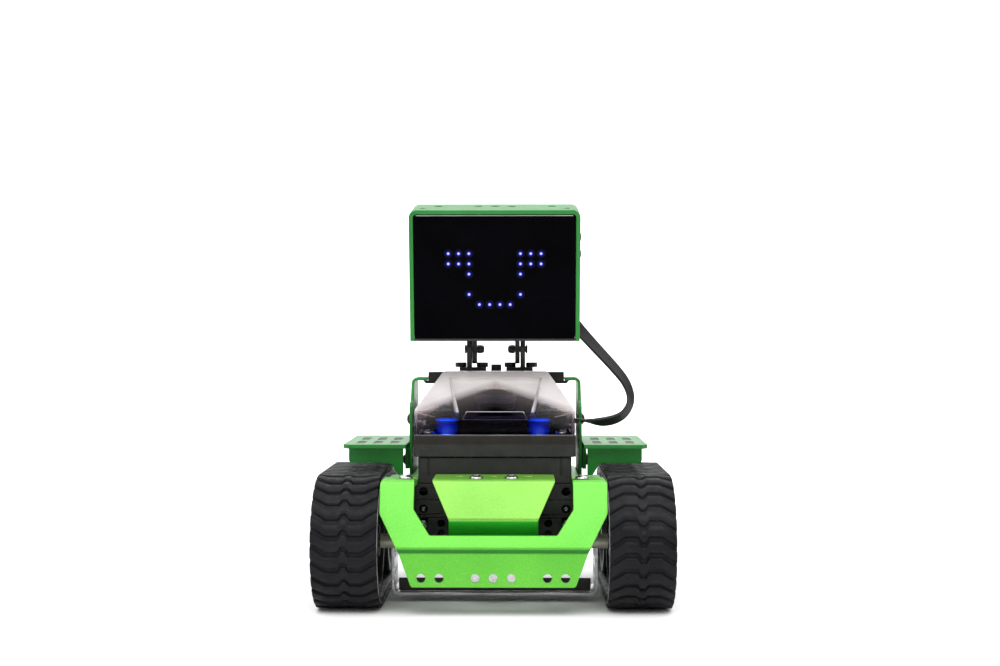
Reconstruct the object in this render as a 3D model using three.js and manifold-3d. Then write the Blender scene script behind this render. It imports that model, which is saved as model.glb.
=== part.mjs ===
// A tracked line follower robot built from a folded sheet-metal kit.
// Millimetres, +Z up. The robot drives towards -Y and stands on Z = 0; X = 0 is its middle plane.
// Left and right are the robot's own, so left is the +X side.
import * as THREE from 'three';
import { mergeVertices } from 'three/addons/utils/BufferGeometryUtils.js';
import Module from 'manifold-3d';

const wasm = await Module();
wasm.setup();

// ---- driving dimensions -------------------------------------------------
const GRID = 8;                 // hole pitch of the kit
const GAP = 0.3;                // clearance between pieces that rest on each other
const SHEET = 2;                // folded green plates
const THIN = 1.5;               // side plates
const GRID_HOLE = 2;            // radius of the 4 mm grid holes
const ROUND = 10;               // sides of a small round hole or pin

const WHEELBASE = 64;
const AXLE_Z = 30.5;
const TRACK_IN = 51.5;          // inner face of a belt
const TRACK_OUT = 81;           // outer face of a belt
const TREAD_R = 30.5;           // outside of the tread over a wheel
const GROOVE_R = 29.1;          // bottom of the tread grooves
const BELT_R = 25.2;            // inside of the belt
const WHEEL_R = 24.4;
const LUGS = 43;
const LUG_SHARE = 0.68;         // part of the pitch that a lug fills
const CHEVRON = 3.6;            // how far the tread zigzags along the belt, opposite on the two belts
const SLACK = 28;               // nearer the middle than this, no wheel presses the tread down
const SLACK_RISE = 0.1;

const DECK_TOP = 57.7;          // top face of the chassis plate
const DECK_FRONT = -44.2;
const DECK_REAR = 50;
const DECK_WIDE = 50;           // half width in front of the side plates
const DECK_NARROW = 40;
const DECK_NOTCH = [21, 36];    // the deck is open in front of the black beams
const NOTCH_END = -14.6;
const WIDE_END = 2;
const SIDE_IN = 40.3;           // inner face of a side plate
const SIDE_TOP = 104;

const CASE_FRONT = -20;
const CASE_REAR = 54;
const CASE_Z = [58, 68, 78];    // foot, step and rim of the controller's two-step case
const LOWER_HALF = 36;
const UPPER_HALF = 38;
const COVER_HALF = 37.6;
const COVER_Z = 78.3;
const DOME_TOP = 107.6;
const DOME_TOP_HALF = 25;
const SHOULDER_Z = 90;
const BOARD_Z = 80.3;
const LAMP_X = 21.2;
const LAMP_Y = -11.6;
const LAMP_R = 5.4;
const PORT_Z = [82.6, 85.4];    // height of the cable's way into the controller

const BEAM = [21, 29, 101, 106.7];   // neck cross beam: front, rear, bottom, top
const HINGE_Y = 22;
const HINGE_Z = 118;
const HEAD_TILT = 11;
const HEAD_HALF = 40;
const HEAD_UP = 31;             // half height
const HEAD_DEEP = 13.5;         // half depth
const HEAD_CENTRE = [0, -6.75, 155.1];

const CABLE_R = 1.7;

// ---- materials ----------------------------------------------------------
const paint = (color, roughness, metalness) => () =>
  new THREE.MeshStandardMaterial({ color, roughness, metalness });
const green = paint(0x6edc4b, 0.35, 0.6);
const silver = paint(0xc4c6c8, 0.3, 1);
const blackMetal = paint(0x26272a, 0.45, 0.5);
const blackPlastic = paint(0x33312f, 0.55, 0);
const gloss = paint(0x08080a, 0.08, 0);
const smoke = paint(0x4a4648, 0.1, 0);
const rubber = paint(0x232329, 0.8, 0);
const boardGreen = paint(0x16203a, 0.5, 0.1);
const blueLens = paint(0x1436ff, 0.3, 0);
const battery = paint(0x3f6f9f, 0.4, 0.2);

// ---- solid helpers ------------------------------------------------------
function solid(geometry) {
  const bare = geometry.clone();
  bare.deleteAttribute('normal');
  bare.deleteAttribute('uv');
  const merged = mergeVertices(bare, 1e-4);
  return new wasm.Manifold(new wasm.Mesh({
    numProp: 3,
    vertProperties: new Float32Array(merged.attributes.position.array),
    triVerts: new Uint32Array(merged.index.array),
  }));
}

function surface(manifold) {
  const mesh = manifold.getMesh();
  const geometry = new THREE.BufferGeometry();
  geometry.setAttribute('position', new THREE.BufferAttribute(mesh.vertProperties, 3));
  geometry.setIndex(new THREE.BufferAttribute(mesh.triVerts, 1));
  geometry.computeVertexNormals();
  return geometry;
}

const cut = (body, ...tools) => surface(tools.reduce((a, b) => a.subtract(solid(b)), solid(body)));
const join = (body, ...more) => surface(more.reduce((a, b) => a.add(solid(b)), solid(body)));
const common = (a, b) => surface(solid(a).intersect(solid(b)));

function box(x, y, z) {
  const g = new THREE.BoxGeometry(Math.abs(x[1] - x[0]), Math.abs(y[1] - y[0]), Math.abs(z[1] - z[0]));
  return g.translate((x[0] + x[1]) / 2, (y[0] + y[1]) / 2, (z[0] + z[1]) / 2);
}

// A closed outline pushed straight from one plane to another along X, Y or Z.
function push(axis, outline, from, to, options = {}) {
  const shape = new THREE.Shape(outline.map(([a, b]) => new THREE.Vector2(a, b)));
  const low = Math.min(from, to);
  const depth = Math.abs(to - from);
  const g = new THREE.ExtrudeGeometry(shape, { depth, bevelEnabled: false, ...options });
  const u = { x: [0, 1, 0], y: [1, 0, 0], z: [1, 0, 0] }[axis];
  const v = { x: [0, 0, 1], y: [0, 0, 1], z: [0, 1, 0] }[axis];
  const w = { x: [1, 0, 0], y: [0, -1, 0], z: [0, 0, 1] }[axis];
  const turn = new THREE.Matrix4().makeBasis(
    new THREE.Vector3(...u), new THREE.Vector3(...v), new THREE.Vector3(...w));
  g.applyMatrix4(turn);
  const shift = { x: [low, 0, 0], y: [0, low + depth, 0], z: [0, 0, low] }[axis];
  return g.translate(...shift);
}

// A round bar or drill along X, Y or Z.
function rod(axis, radius, centre, from, to, sides = ROUND) {
  const g = new THREE.CylinderGeometry(radius, radius, Math.abs(to - from), sides);
  const middle = (from + to) / 2;
  if (axis === 'x') return g.rotateZ(-Math.PI / 2).translate(middle, centre[0], centre[1]);
  if (axis === 'y') return g.translate(centre[0], middle, centre[1]);
  return g.rotateX(Math.PI / 2).translate(centre[0], centre[1], middle);
}

// A profile of [radius, distance along X] turned around an axle at (y, z).
function turned(profile, y, z, sides) {
  const points = profile.map(([r, x]) => new THREE.Vector2(r, x));
  const g = new THREE.LatheGeometry([...points, points[0].clone()], sides);
  return g.rotateZ(-Math.PI / 2).translate(0, y, z);
}

const mirrored = (outline, side) => outline.map(([x, z]) => [side * x, z]);

// ---- the assembly -------------------------------------------------------
const robot = new THREE.Group();
const head = new THREE.Group();
head.position.set(...HEAD_CENTRE);
head.rotation.x = THREE.MathUtils.degToRad(HEAD_TILT);
robot.add(head);

function add(name, geometry, material, group = robot) {
  const mesh = new THREE.Mesh(geometry, material());
  mesh.name = name;
  group.add(mesh);
}

const SIDES = [['left', 1], ['right', -1]];

// ---- chassis ------------------------------------------------------------
function chassisPlate() {
  const [near, far] = DECK_NOTCH;
  const half = [
    [near, DECK_FRONT], [near, NOTCH_END], [far, NOTCH_END], [far, DECK_FRONT],
    [DECK_WIDE, DECK_FRONT], [DECK_WIDE, WIDE_END], [DECK_NARROW, WIDE_END], [DECK_NARROW, DECK_REAR],
  ];
  const outline = [...half, ...mirrored(half, -1).reverse()];
  const top = push('z', outline, DECK_TOP - SHEET, DECK_TOP);
  const flanges = SIDES.map(([, s]) =>
    box([s * (DECK_NARROW - SHEET), s * DECK_NARROW], [WIDE_END + 2, DECK_REAR], [40.5, DECK_TOP - 1]));
  const drills = [];
  for (const x of [-40, -8, 8, 40]) drills.push(rod('z', GRID_HOLE, [x, -41], 50, 60));
  for (const x of [-24, 24]) {
    for (const y of [-32, -24, 8, 16, 40]) drills.push(rod('z', GRID_HOLE, [x, y], 50, 60));
  }
  add('chassis_top_plate', cut(join(top, ...flanges), ...drills), green);
}

// Flange on the deck, a face that leans out, a small joggle and an upright lip.
function frontBumper() {
  const lean = [
    [-34, 60], [-46.6, 60], [-47.9, 59.4], [-60.7, 30.6], [-59.4, 28.6], [-59.4, 13.6],
    [-57.4, 13.6], [-57.4, 29.2], [-58.5, 30.9], [-46.4, 58], [-34, 58],
  ];
  const face = [
    [35.6, 61], [35.6, 47.2], [28.3, 36.3], [-28.3, 36.3], [-35.6, 47.2], [-35.6, 61],
    [-49, 61], [-51, 59], [-51, 45.7], [-42.3, 29.6], [-36.8, 14.6], [-35.4, 13.6],
    [35.4, 13.6], [36.8, 14.6], [42.3, 29.6], [51, 45.7], [51, 59], [49, 61],
  ];
  const folded = common(push('x', lean, -52, 52), push('y', face, -64, -30));
  const drills = [-40, 40].map((x) => rod('z', GRID_HOLE, [x, -41], 50, 65));
  for (const n of [-4, -3, -1, 0, 1, 3, 4]) {
    drills.push(rod('y', GRID_HOLE, [n * GRID, 17.6], -64, -50));
  }
  add('front_bumper', cut(folded, ...drills), green);
}

function frontCentrePlate() {
  const lean = [
    [-21.4, 60], [-45, 60], [-46.2, 59.4], [-53.4, 42.5], [-50.4, 34.8],
    [-48.4, 35.6], [-51.2, 42.7], [-44.8, 58], [-21.4, 58],
  ];
  const half = [[20, 34], [20, 42.5], [27.6, 59], [27.6, 61]];
  const face = [...half, ...mirrored(half, -1).reverse()];
  const folded = common(push('x', lean, -30, 30), push('y', face, -60, -20));
  const drills = [-8, 8].map((x) => rod('z', GRID_HOLE, [x, -41], 50, 65));
  for (const x of [-16, 0, 16]) drills.push(rod('z', GRID_HOLE, [x, -31], 50, 65));
  add('front_centre_plate', cut(folded, ...drills), green);
}

function beams(name, s) {
  const across = [s * 21, s * 37.7];
  const drill = (z) => rod('y', 2, [s * 33.4, z], -22, -12);
  const upper = box(across, [-20, 46], [47.9, 55.4]);
  const middle = box(across, [-20, 46], [40.8, 47.6]);
  const front = box(across, [-20, 18], [39.6, 41.5]);
  add(`${name}_upper_beam`, cut(upper, drill(51.7)), blackMetal);
  add(`${name}_middle_beam`, cut(join(middle, front), drill(43.6)), blackMetal);
}

function sidePlate(name, s) {
  const outline = [
    [-44, 27], [-10, 20.5], [48, 20], [48, 92], [44, SIDE_TOP], [21, SIDE_TOP], [12, 92.5], [5, 92.5],
    [5, 55.2], [-44, 55.2],
  ];
  const upright = push('x', outline, s * SIDE_IN, s * (SIDE_IN + THIN));
  const flange = box([s * 34, s * (SIDE_IN + THIN)], [21, 37], [SIDE_TOP - THIN, SIDE_TOP]);
  const drills = [
    rod('x', 3, [-WHEELBASE / 2, AXLE_Z], s * 39, s * 43),
    rod('x', 4.2, [WHEELBASE / 2, AXLE_Z], s * 39, s * 43),
    rod('z', 1.9, [s * 37.5, 25], 100, 106),
  ];
  for (const y of [-16, -8, 0]) drills.push(rod('x', GRID_HOLE, [y, 44], s * 39, s * 43));
  for (const y of [12, 20, 28, 36]) drills.push(rod('x', GRID_HOLE, [y, 84], s * 39, s * 43));
  add(`${name}_side_plate`, cut(join(upright, flange), ...drills), green);
}

function fender(name, s) {
  const outline = mirrored([
    [42.1, -10], [70, -10], [72.5, -7], [72.5, 51], [70, 54], [42.1, 54],
  ], s);
  const deck = push('z', outline, 71, 73);
  const skirt = push('y', mirrored([[44, 71.5], [44, 58.2], [50, 64], [70, 64], [70, 71.5]], s), -6, -4);
  const tab = box([s * 42.1, s * 44], [7, 44], [60, 72]);
  const drills = [];
  for (const x of [50, 58, 66]) {
    for (const y of [0, 8, 22, 38, 46]) drills.push(rod('z', GRID_HOLE, [s * x, y], 69, 75, 12));
  }
  add(`${name}_fender`, cut(join(deck, skirt, tab), ...drills), green);
}

function rearPlate() {
  const plate = box([-38, 38], [50.3, 52.3], [22, 57]);
  const drills = [];
  for (const x of [-24, -8, 8, 24]) {
    for (const z of [30, 44]) drills.push(rod('y', GRID_HOLE, [x, z], 49, 54));
  }
  add('rear_plate', cut(plate, ...drills), green);
}

// An upright U that carries the sensor bar under the front of the chassis.
function bellyBracket() {
  const outer = [
    [-48.5, 55.3], [-48.5, 7], [-47, 4], [-44.5, 3], [44.5, 3], [47, 4], [48.5, 7], [48.5, 55.3],
    [42.6, 55.3], [42.6, 53.7], [46.9, 53.7], [46.9, 7.6], [45.8, 5.4], [44, 4.6],
    [-44, 4.6], [-45.8, 5.4], [-46.9, 7.6], [-46.9, 53.7], [-42.6, 53.7], [-42.6, 55.3],
  ];
  const window = box([-38, 38], [-15.5, -6], [2, 6]);
  add('belly_bracket', cut(push('y', outer, -20, 0), window), silver);
}

function lineSensor() {
  const section = [[-19.5, 5.4], [-19.5, 11.2], [-17.5, 11.2], [-17.5, 9.4], [-4, 7.8], [-4, 5.4]];
  const bar = push('x', section, -44.9, 44.9);
  const room = box([-43.5, 43.5], [-16, -5.5], [6.7, 12]);
  const eyes = [-30, -18, -6, 6, 18, 30].map((x) => box([x - 4, x + 4], [-14, -8], [4, 7]));
  add('line_sensor_housing', cut(bar, room, ...eyes), blackPlastic);
  add('line_sensor_board', box([-43.1, 43.1], [-15.6, -5.9], [6.9, 8.1]), boardGreen);
}

// ---- running gear -------------------------------------------------------
const HALF_TURN = Math.PI * TREAD_R;
const LOOP = 2 * (WHEELBASE + HALF_TURN);

// The point at distance s along the tread's outer path, on the loop of the given radius.
function loopPoint(s, radius) {
  const half = LOOP / 2;
  const along = ((s % LOOP) + LOOP) % LOOP;
  const way = along < half ? 1 : -1;
  const rest = along % half;
  const angle = Math.max(0, rest - WHEELBASE) / TREAD_R;
  const y = -WHEELBASE / 2 + Math.min(rest, WHEELBASE) + radius * Math.sin(angle);
  return [way * y, AXLE_Z - way * radius * Math.cos(angle)];
}

// Where a point of the loop lies along that path, and at which radius.
function loopPlace(y, z) {
  const way = z < AXLE_Z ? 1 : -1;
  if (Math.abs(y) <= WHEELBASE / 2) {
    return [(way > 0 ? 0 : LOOP / 2) + way * y + WHEELBASE / 2, Math.abs(z - AXLE_Z)];
  }
  const rear = y > 0;
  const dy = Math.abs(y) - WHEELBASE / 2;
  const dz = rear ? AXLE_Z - z : z - AXLE_Z;
  return [(rear ? 0 : LOOP / 2) + WHEELBASE + TREAD_R * Math.atan2(dy, dz), Math.hypot(dy, dz)];
}

function loopOutline(radius, turns) {
  const points = [];
  for (const start of [WHEELBASE, LOOP / 2 + WHEELBASE]) {
    for (let n = 0; n <= turns; n += 1) {
      points.push(loopPoint(start + ((HALF_TURN - 1e-6) * n) / turns, radius));
    }
  }
  return points;
}

function treadOutline() {
  const pitch = LOOP / LUGS;
  const points = [];
  for (let n = 0; n < LUGS; n += 1) {
    const s = n * pitch;
    const end = s + pitch * LUG_SHARE;
    points.push(loopPoint(s, TREAD_R), loopPoint(end, TREAD_R), loopPoint((end + s + pitch) / 2, GROOVE_R));
  }
  return points;
}

function ring(outer, inner, x0, x1, steps) {
  const shape = new THREE.Shape(outer.map(([a, b]) => new THREE.Vector2(a, b)));
  shape.holes.push(new THREE.Path(inner.map(([a, b]) => new THREE.Vector2(a, b))));
  const g = new THREE.ExtrudeGeometry(shape, { depth: x1 - x0, steps, bevelEnabled: false });
  const turn = new THREE.Matrix4().makeBasis(
    new THREE.Vector3(0, 1, 0), new THREE.Vector3(0, 0, 1), new THREE.Vector3(1, 0, 0));
  return g.applyMatrix4(turn).translate(x0, 0, 0);
}

// The tread's lugs zigzag in a W across the belt's width, and point opposite ways on the two sides.
function zigzag(geometry, x0, x1, way) {
  const at = geometry.attributes.position;
  for (let n = 0; n < at.count; n += 1) {
    const t = (4 * (at.getX(n) - x0)) / (x1 - x0);
    const shift = way * CHEVRON * (Math.round(t) % 2);
    const [s, radius] = loopPlace(at.getY(n), at.getZ(n));
    const [y, z] = loopPoint(s + shift, radius);
    const rise = z < 1 && Math.abs(y) < SLACK ? SLACK_RISE : 0;
    at.setXYZ(n, at.getX(n), y, z + rise);
  }
  return geometry;
}

function belt(name, s) {
  const [x0, x1] = [s * TRACK_IN, s * TRACK_OUT].sort((a, b) => a - b);
  const band = zigzag(ring(treadOutline(), loopOutline(BELT_R, 14), x0, x1, 4), x0, x1, s);
  const middle = (x0 + x1) / 2;
  const guide = ring(loopOutline(BELT_R + 1, 14), loopOutline(22.8, 14), middle - 2, middle + 2, 1);
  add(`${name}_track_belt`, join(band, guide), rubber);
}

function wheel(name, s, y, bore) {
  const inner = TRACK_IN + 1.2;
  const outer = TRACK_OUT - 1.2;
  const middle = (TRACK_IN + TRACK_OUT) / 2;
  const profile = [
    [bore, inner], [7, inner], [7, 60], [20, 60], [20, inner], [WHEEL_R, inner],
    [WHEEL_R, middle - 3], [21.6, middle - 2.6], [21.6, middle + 2.6], [WHEEL_R, middle + 3],
    [WHEEL_R, outer], [20, outer], [20, 70], [7, 70], [7, 74], [bore, 74],
  ].map(([r, x]) => [r, s * x]);
  const body = turned(s > 0 ? profile : profile.reverse(), y, AXLE_Z, 18);
  const drills = [];
  for (let n = 0; n < 5; n += 1) {
    const a = (2 * Math.PI * n) / 5;
    const centre = [y + 13.5 * Math.cos(a), AXLE_Z + 13.5 * Math.sin(a)];
    drills.push(rod('x', 4, centre, s * 58, s * 72, 8));
  }
  add(name, cut(body, ...drills), blackPlastic);
}

function frontAxle(name, s) {
  const y = -WHEELBASE / 2;
  const at = [y, AXLE_Z];
  const axle = join(rod('x', 2.4, at, s * 34, s * 77), rod('x', 4, at, s * 74.4, s * 77));
  add(`${name}_front_axle`, axle, silver);
  const spacer = cut(rod('x', 3.4, at, s * 42.1, s * 52.3, 16), rod('x', 2.8, at, s * 41, s * 53));
  add(`${name}_axle_spacer`, spacer, silver);
}

function drive(name, s) {
  const y = WHEELBASE / 2;
  const at = [y, AXLE_Z];
  const gearbox = cut(box([s * 17, s * 37.7], [20.5, 45], [19, 40.5]), rod('x', 3.4, at, s * 28, s * 39));
  add(`${name}_gearbox`, gearbox, blackPlastic);
  add(`${name}_motor`, rod('y', 9, [s * 27, AXLE_Z], -7, 20.2, 16), silver);
  add(`${name}_drive_shaft`, rod('x', 2.9, at, s * 29, s * 73), silver);
}

// ---- controller ---------------------------------------------------------
function controllerCase() {
  const lower = cut(
    box([-LOWER_HALF, LOWER_HALF], [CASE_FRONT, CASE_REAR], [CASE_Z[0], CASE_Z[1] - GAP]),
    box(
      [-LOWER_HALF + 2, LOWER_HALF - 2],
      [CASE_FRONT + 2, CASE_REAR - 2],
      [CASE_Z[0] + 1.5, CASE_Z[1] + 1]));
  const feet = SIDES.map(([, s]) => (
    box([s * 21.5, s * 35.6], [CASE_FRONT, NOTCH_END - GAP], [55.7, CASE_Z[0] + 1])));
  add('controller_lower_case', join(lower, ...feet), blackPlastic);
  const upper = cut(
    box([-UPPER_HALF, UPPER_HALF], [CASE_FRONT - 1, CASE_REAR + 1], [CASE_Z[1], CASE_Z[2]]),
    box([-UPPER_HALF + 2, UPPER_HALF - 2], [CASE_FRONT + 1, CASE_REAR - 1], [CASE_Z[1] + 1.5, CASE_Z[2] + 1]),
    box([-4.6, 4.6], [CASE_REAR - 2, CASE_REAR + 2], [71.4, 75.2]),
    rod('y', 2.4, [20, 73.3], CASE_REAR - 2, CASE_REAR + 2));
  add('controller_upper_case', upper, blackPlastic);
  for (const [n, x] of [[1, -16.5], [2, 16.5]]) {
    add(`battery_cell_${n}`, rod('y', 3.9, [x, 64], -15, 49, 14), battery);
  }
  add('power_switch', box([-2, 2], [CASE_REAR - 2.5, CASE_REAR + 3], [71.9, 74.7]), blackPlastic);
  add('reset_button', rod('y', 1.9, [20, 73.3], CASE_REAR - 2.5, CASE_REAR + 2.6), blueLens);
}

// The dome is the overlap of a side view and a front view, with a recess above the front ledge.
// It is hollowed by a smaller copy of the same shape.
function domeSolid(inset, floor) {
  const slip = inset * 0.4;
  const side = [
    [CASE_FRONT + inset, floor], [CASE_FRONT + inset, SHOULDER_Z - slip], [2 + slip, DOME_TOP - inset],
    [11 - slip, DOME_TOP - inset], [20.4 - slip, 98 - inset], [CASE_REAR - inset, 88 - inset],
    [CASE_REAR - inset, floor],
  ];
  const half = [
    [COVER_HALF - inset, floor], [COVER_HALF - inset, SHOULDER_Z - slip],
    [DOME_TOP_HALF - slip, DOME_TOP - inset + 0.01],
  ];
  const front = [...half, ...mirrored(half, -1).reverse()];
  const shape = common(push('x', side, -COVER_HALF - 1, COVER_HALF + 1), push('y', front, -30, 60));
  const ledge = [
    [CASE_FRONT - 2, 84.9 - inset], [CASE_FRONT, 85.7 - inset], [-12.5 + slip, 89.3 - inset],
    [0.6 + slip, DOME_TOP - 3.2], [-12, DOME_TOP],
  ];
  const opening = [
    [14 + inset, 80], [18.4 + inset, 87], [22.6 + inset, DOME_TOP - 2], [22.6 + inset, DOME_TOP + 2],
  ];
  const mouth = [...opening, ...mirrored(opening, -1).reverse()];
  return cut(shape, common(push('x', ledge, -30, 30), push('y', mouth, -40, 30)));
}

function controllerCover() {
  const port = box([COVER_HALF - 3, COVER_HALF + 1], [-5.8, -0.2], PORT_Z);
  const rim = box([-COVER_HALF, COVER_HALF], [CASE_FRONT, CASE_REAR], [COVER_Z, COVER_Z + 1.4]);
  const window = box(
    [-COVER_HALF + 5.5, COVER_HALF - 5.5], [CASE_FRONT + 7.5, CASE_REAR - 7.5], [COVER_Z - 1, COVER_Z + 2]);
  const shell = join(cut(domeSolid(0, COVER_Z), domeSolid(1.6, COVER_Z - 1)), cut(rim, window));
  add('controller_cover', cut(shell, port), smoke);
}

function controllerBoard() {
  const board = box([-34.5, 34.5], [-17.5, 51], [BOARD_Z, BOARD_Z + 1.6]);
  const lampHoles = SIDES.map(([, s]) => rod('z', LAMP_R + GAP, [s * LAMP_X, LAMP_Y], 79, 83, 20));
  add('controller_board', cut(board, ...lampHoles), boardGreen);
  for (const [name, s] of SIDES) {
    add(`${name}_status_lamp`, rod('z', LAMP_R, [s * LAMP_X, LAMP_Y], COVER_Z + 1.7, 85.6, 20), blueLens);
  }
  const z = BOARD_Z + 1.6 + GAP;
  add('port_row', box([-13, 13], [-16, -9.5], [z, 83.8]), blackPlastic);
  const port = cut(box([27.6, 33.5], [-8.5, 2.5], [z, 87]), box([29.5, 36], [-5.8, -0.2], PORT_Z));
  add('cable_port', port, blackPlastic);
  add('processor_module', box([-30, 30], [6, 36], [86.6, 88.2]), boardGreen);
}

// ---- neck ---------------------------------------------------------------
function neck() {
  const [front, rear, low, top] = BEAM;
  const middle = (front + rear) / 2;
  const drills = [-16, -8, 0, 8, 16].map((x) => rod('z', 1.8, [x, middle], low - 1, top + 1, 10));
  const seat = [SIDE_TOP - THIN - GAP, top + 1];
  const ends = [-1, 1].map((s) => box([s * 33.6, s * 36], [front - 1, rear + 1], seat));
  add('neck_cross_beam', cut(box([-36, 36], [front, rear], [low, top]), ...ends, ...drills), blackMetal);
}

function neckBracket(name, s) {
  const base = BEAM[3] + GAP;
  const foot = box([s * 5, s * 18.2], [20.5, 29.5], [base, base + 2]);
  const post = push('x', [
    [18, base], [29.5, base], [28, 119], [26.4, 122.4], [24, 124], [20, 124], [17.6, 122.4], [16.6, 119],
    [18, base + 4],
  ], s * 12, s * 14.4);
  const bracket = cut(join(foot, post), rod('x', 2, [HINGE_Y, HINGE_Z], s * 11, s * 15));
  add(`${name}_neck_bracket`, bracket, blackMetal);
  const pin = join(
    rod('x', 1.5, [HINGE_Y, HINGE_Z], s * 5.8, s * 15),
    rod('x', 2.2, [HINGE_Y, HINGE_Z], s * 14.7, s * 15.6));
  add(`${name}_hinge_screw`, pin, silver);
}

// ---- head (in the head's own frame, centred on the casing) ---------------
const tilt = THREE.MathUtils.degToRad(HEAD_TILT);
const dy = HINGE_Y - HEAD_CENTRE[1];
const dz = HINGE_Z - HEAD_CENTRE[2];
const HINGE_LOCAL = [
  dy * Math.cos(tilt) + dz * Math.sin(tilt),
  -dy * Math.sin(tilt) + dz * Math.cos(tilt),
];

function headArm(name, s) {
  const [y, z] = HINGE_LOCAL;
  const back = HEAD_DEEP + GAP;
  const arm = push('x', [
    [back, -31.5], [y - 4.4, z - 1.6], [y - 4.4, z - 5], [y - 2.6, z - 6.9], [y + 2.6, z - 6.9],
    [y + 4.4, z - 5], [y + 4.4, z + 8], [back + 2, -27], [back, -27],
  ], s * 9.4, s * 11.7);
  const foot = box([s * 3, s * 11.7], [back, back + 2], [-27, -8]);
  const blade = box([s * 9.4, s * 11.7], [back, back + 3], [-31, -8]);
  const drill = rod('x', 2, [y, z], s * 9, s * 12);
  add(`${name}_head_arm`, cut(join(arm, foot, blade), drill), blackMetal, head);
}

function headShell() {
  const outer = [
    [-HEAD_HALF, -HEAD_UP], [-HEAD_HALF, HEAD_UP - 2.5], [-HEAD_HALF + 0.8, HEAD_UP - 0.8],
    [-HEAD_HALF + 2.5, HEAD_UP], [HEAD_HALF - 2.5, HEAD_UP], [HEAD_HALF - 0.8, HEAD_UP - 0.8],
    [HEAD_HALF, HEAD_UP - 2.5], [HEAD_HALF, -HEAD_UP], [HEAD_HALF - SHEET, -HEAD_UP],
    [HEAD_HALF - SHEET, HEAD_UP - SHEET], [-HEAD_HALF + SHEET, HEAD_UP - SHEET],
    [-HEAD_HALF + SHEET, -HEAD_UP],
  ];
  const drills = [-27, -8, 0, 8, 27].map((x) => rod('z', GRID_HOLE, [x, 0], HEAD_UP - 4, HEAD_UP + 1, 12));
  for (const z of [8.8, 16.8]) {
    for (const [, s] of SIDES) drills.push(rod('x', 1.8, [0, z], s * 37, s * 41));
  }
  add('head_frame', cut(push('y', outer, -HEAD_DEEP, HEAD_DEEP), ...drills), green, head);
  const inner = HEAD_HALF - SHEET - GAP;
  const roof = HEAD_UP - SHEET - GAP;
  const shell = cut(
    box([-inner, inner], [-10.6, HEAD_DEEP - 0.3], [-HEAD_UP, roof]),
    box([-inner + 1.8, inner - 1.8], [-12, HEAD_DEEP - 2.3], [-HEAD_UP + 1.8, roof - 1.8]));
  add('head_rear_housing', shell, blackPlastic, head);
  add('head_face_panel', box([-inner, inner], [-13.2, -10.9], [-HEAD_UP + 1.2, roof]), gloss, head);
  add('led_matrix_board', box([-35, 35], [-7.5, -5.9], [-26, 24]), boardGreen, head);
  add('head_cable_socket', cut(
    box([15, 26], [HEAD_DEEP + GAP, HEAD_DEEP + 9], [-29, -18]),
    box([18, 28], [HEAD_DEEP + 2, HEAD_DEEP + 7.6], [-26.6, -20.4])), blackPlastic, head);
  add('head_cable_plug', box([19, 30.8], [HEAD_DEEP + 2.4, HEAD_DEEP + 7.2], [-26.2, -20.8]), gloss, head);
}

// ---- ribbon cable -------------------------------------------------------
// From the plug behind the head, out past its corner, down in a bow and back into the controller.
const CABLE_ROUTE = [
  [31.9, 15.7, 135.5], [35, 15.9, 134.2], [38, 15.7, 131.2], [42, 14.8, 126.6], [47, 13, 121],
  [53, 10.4, 114.4],
  [58.5, 8, 108.2], [62.8, 5.6, 102.4], [65, 3.2, 96.5], [64.6, 1, 91.4], [61.6, -1, 87], [57, -2.4, 84.6],
  [52, -3, 83.6], [48, -3, 83.6], [44, -3, 84], [40.8, -3, 84.1],
];

function ribbonCable() {
  const stops = CABLE_ROUTE.map((p) => new THREE.Vector3(...p));
  const curve = new THREE.CatmullRomCurve3(stops, false, 'centripetal');
  const section = new THREE.Shape();
  section.absarc(0, 0, CABLE_R, 0, 2 * Math.PI, false);
  const points = new THREE.Shape(section.getPoints(4).slice(0, 8));
  const tube = new THREE.ExtrudeGeometry(points, { steps: 30, extrudePath: curve, bevelEnabled: false });
  add('ribbon_cable', tube, rubber);
  add('controller_cable_plug', box([30, 40.2], [-5.4, -0.6], [83, 85.1]), gloss);
}

chassisPlate();
frontBumper();
frontCentrePlate();
rearPlate();
bellyBracket();
lineSensor();
for (const [name, s] of SIDES) {
  beams(name, s);
  sidePlate(name, s);
  fender(name, s);
  belt(name, s);
  wheel(`${name}_front_wheel`, s, -WHEELBASE / 2, 2.9);
  wheel(`${name}_rear_wheel`, s, WHEELBASE / 2, 3.3);
  frontAxle(name, s);
  drive(name, s);
  neckBracket(name, s);
  headArm(name, s);
}
controllerCase();
controllerCover();
controllerBoard();
neck();
headShell();
ribbonCable();

export default robot;
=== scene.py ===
# Looks of the tracked line follower robot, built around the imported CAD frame.
# Outlines are in millimetres and become metres when a piece is finished. The robot drives towards -Y.
import math

import bmesh
import bpy
from mathutils import Matrix, Vector


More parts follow.
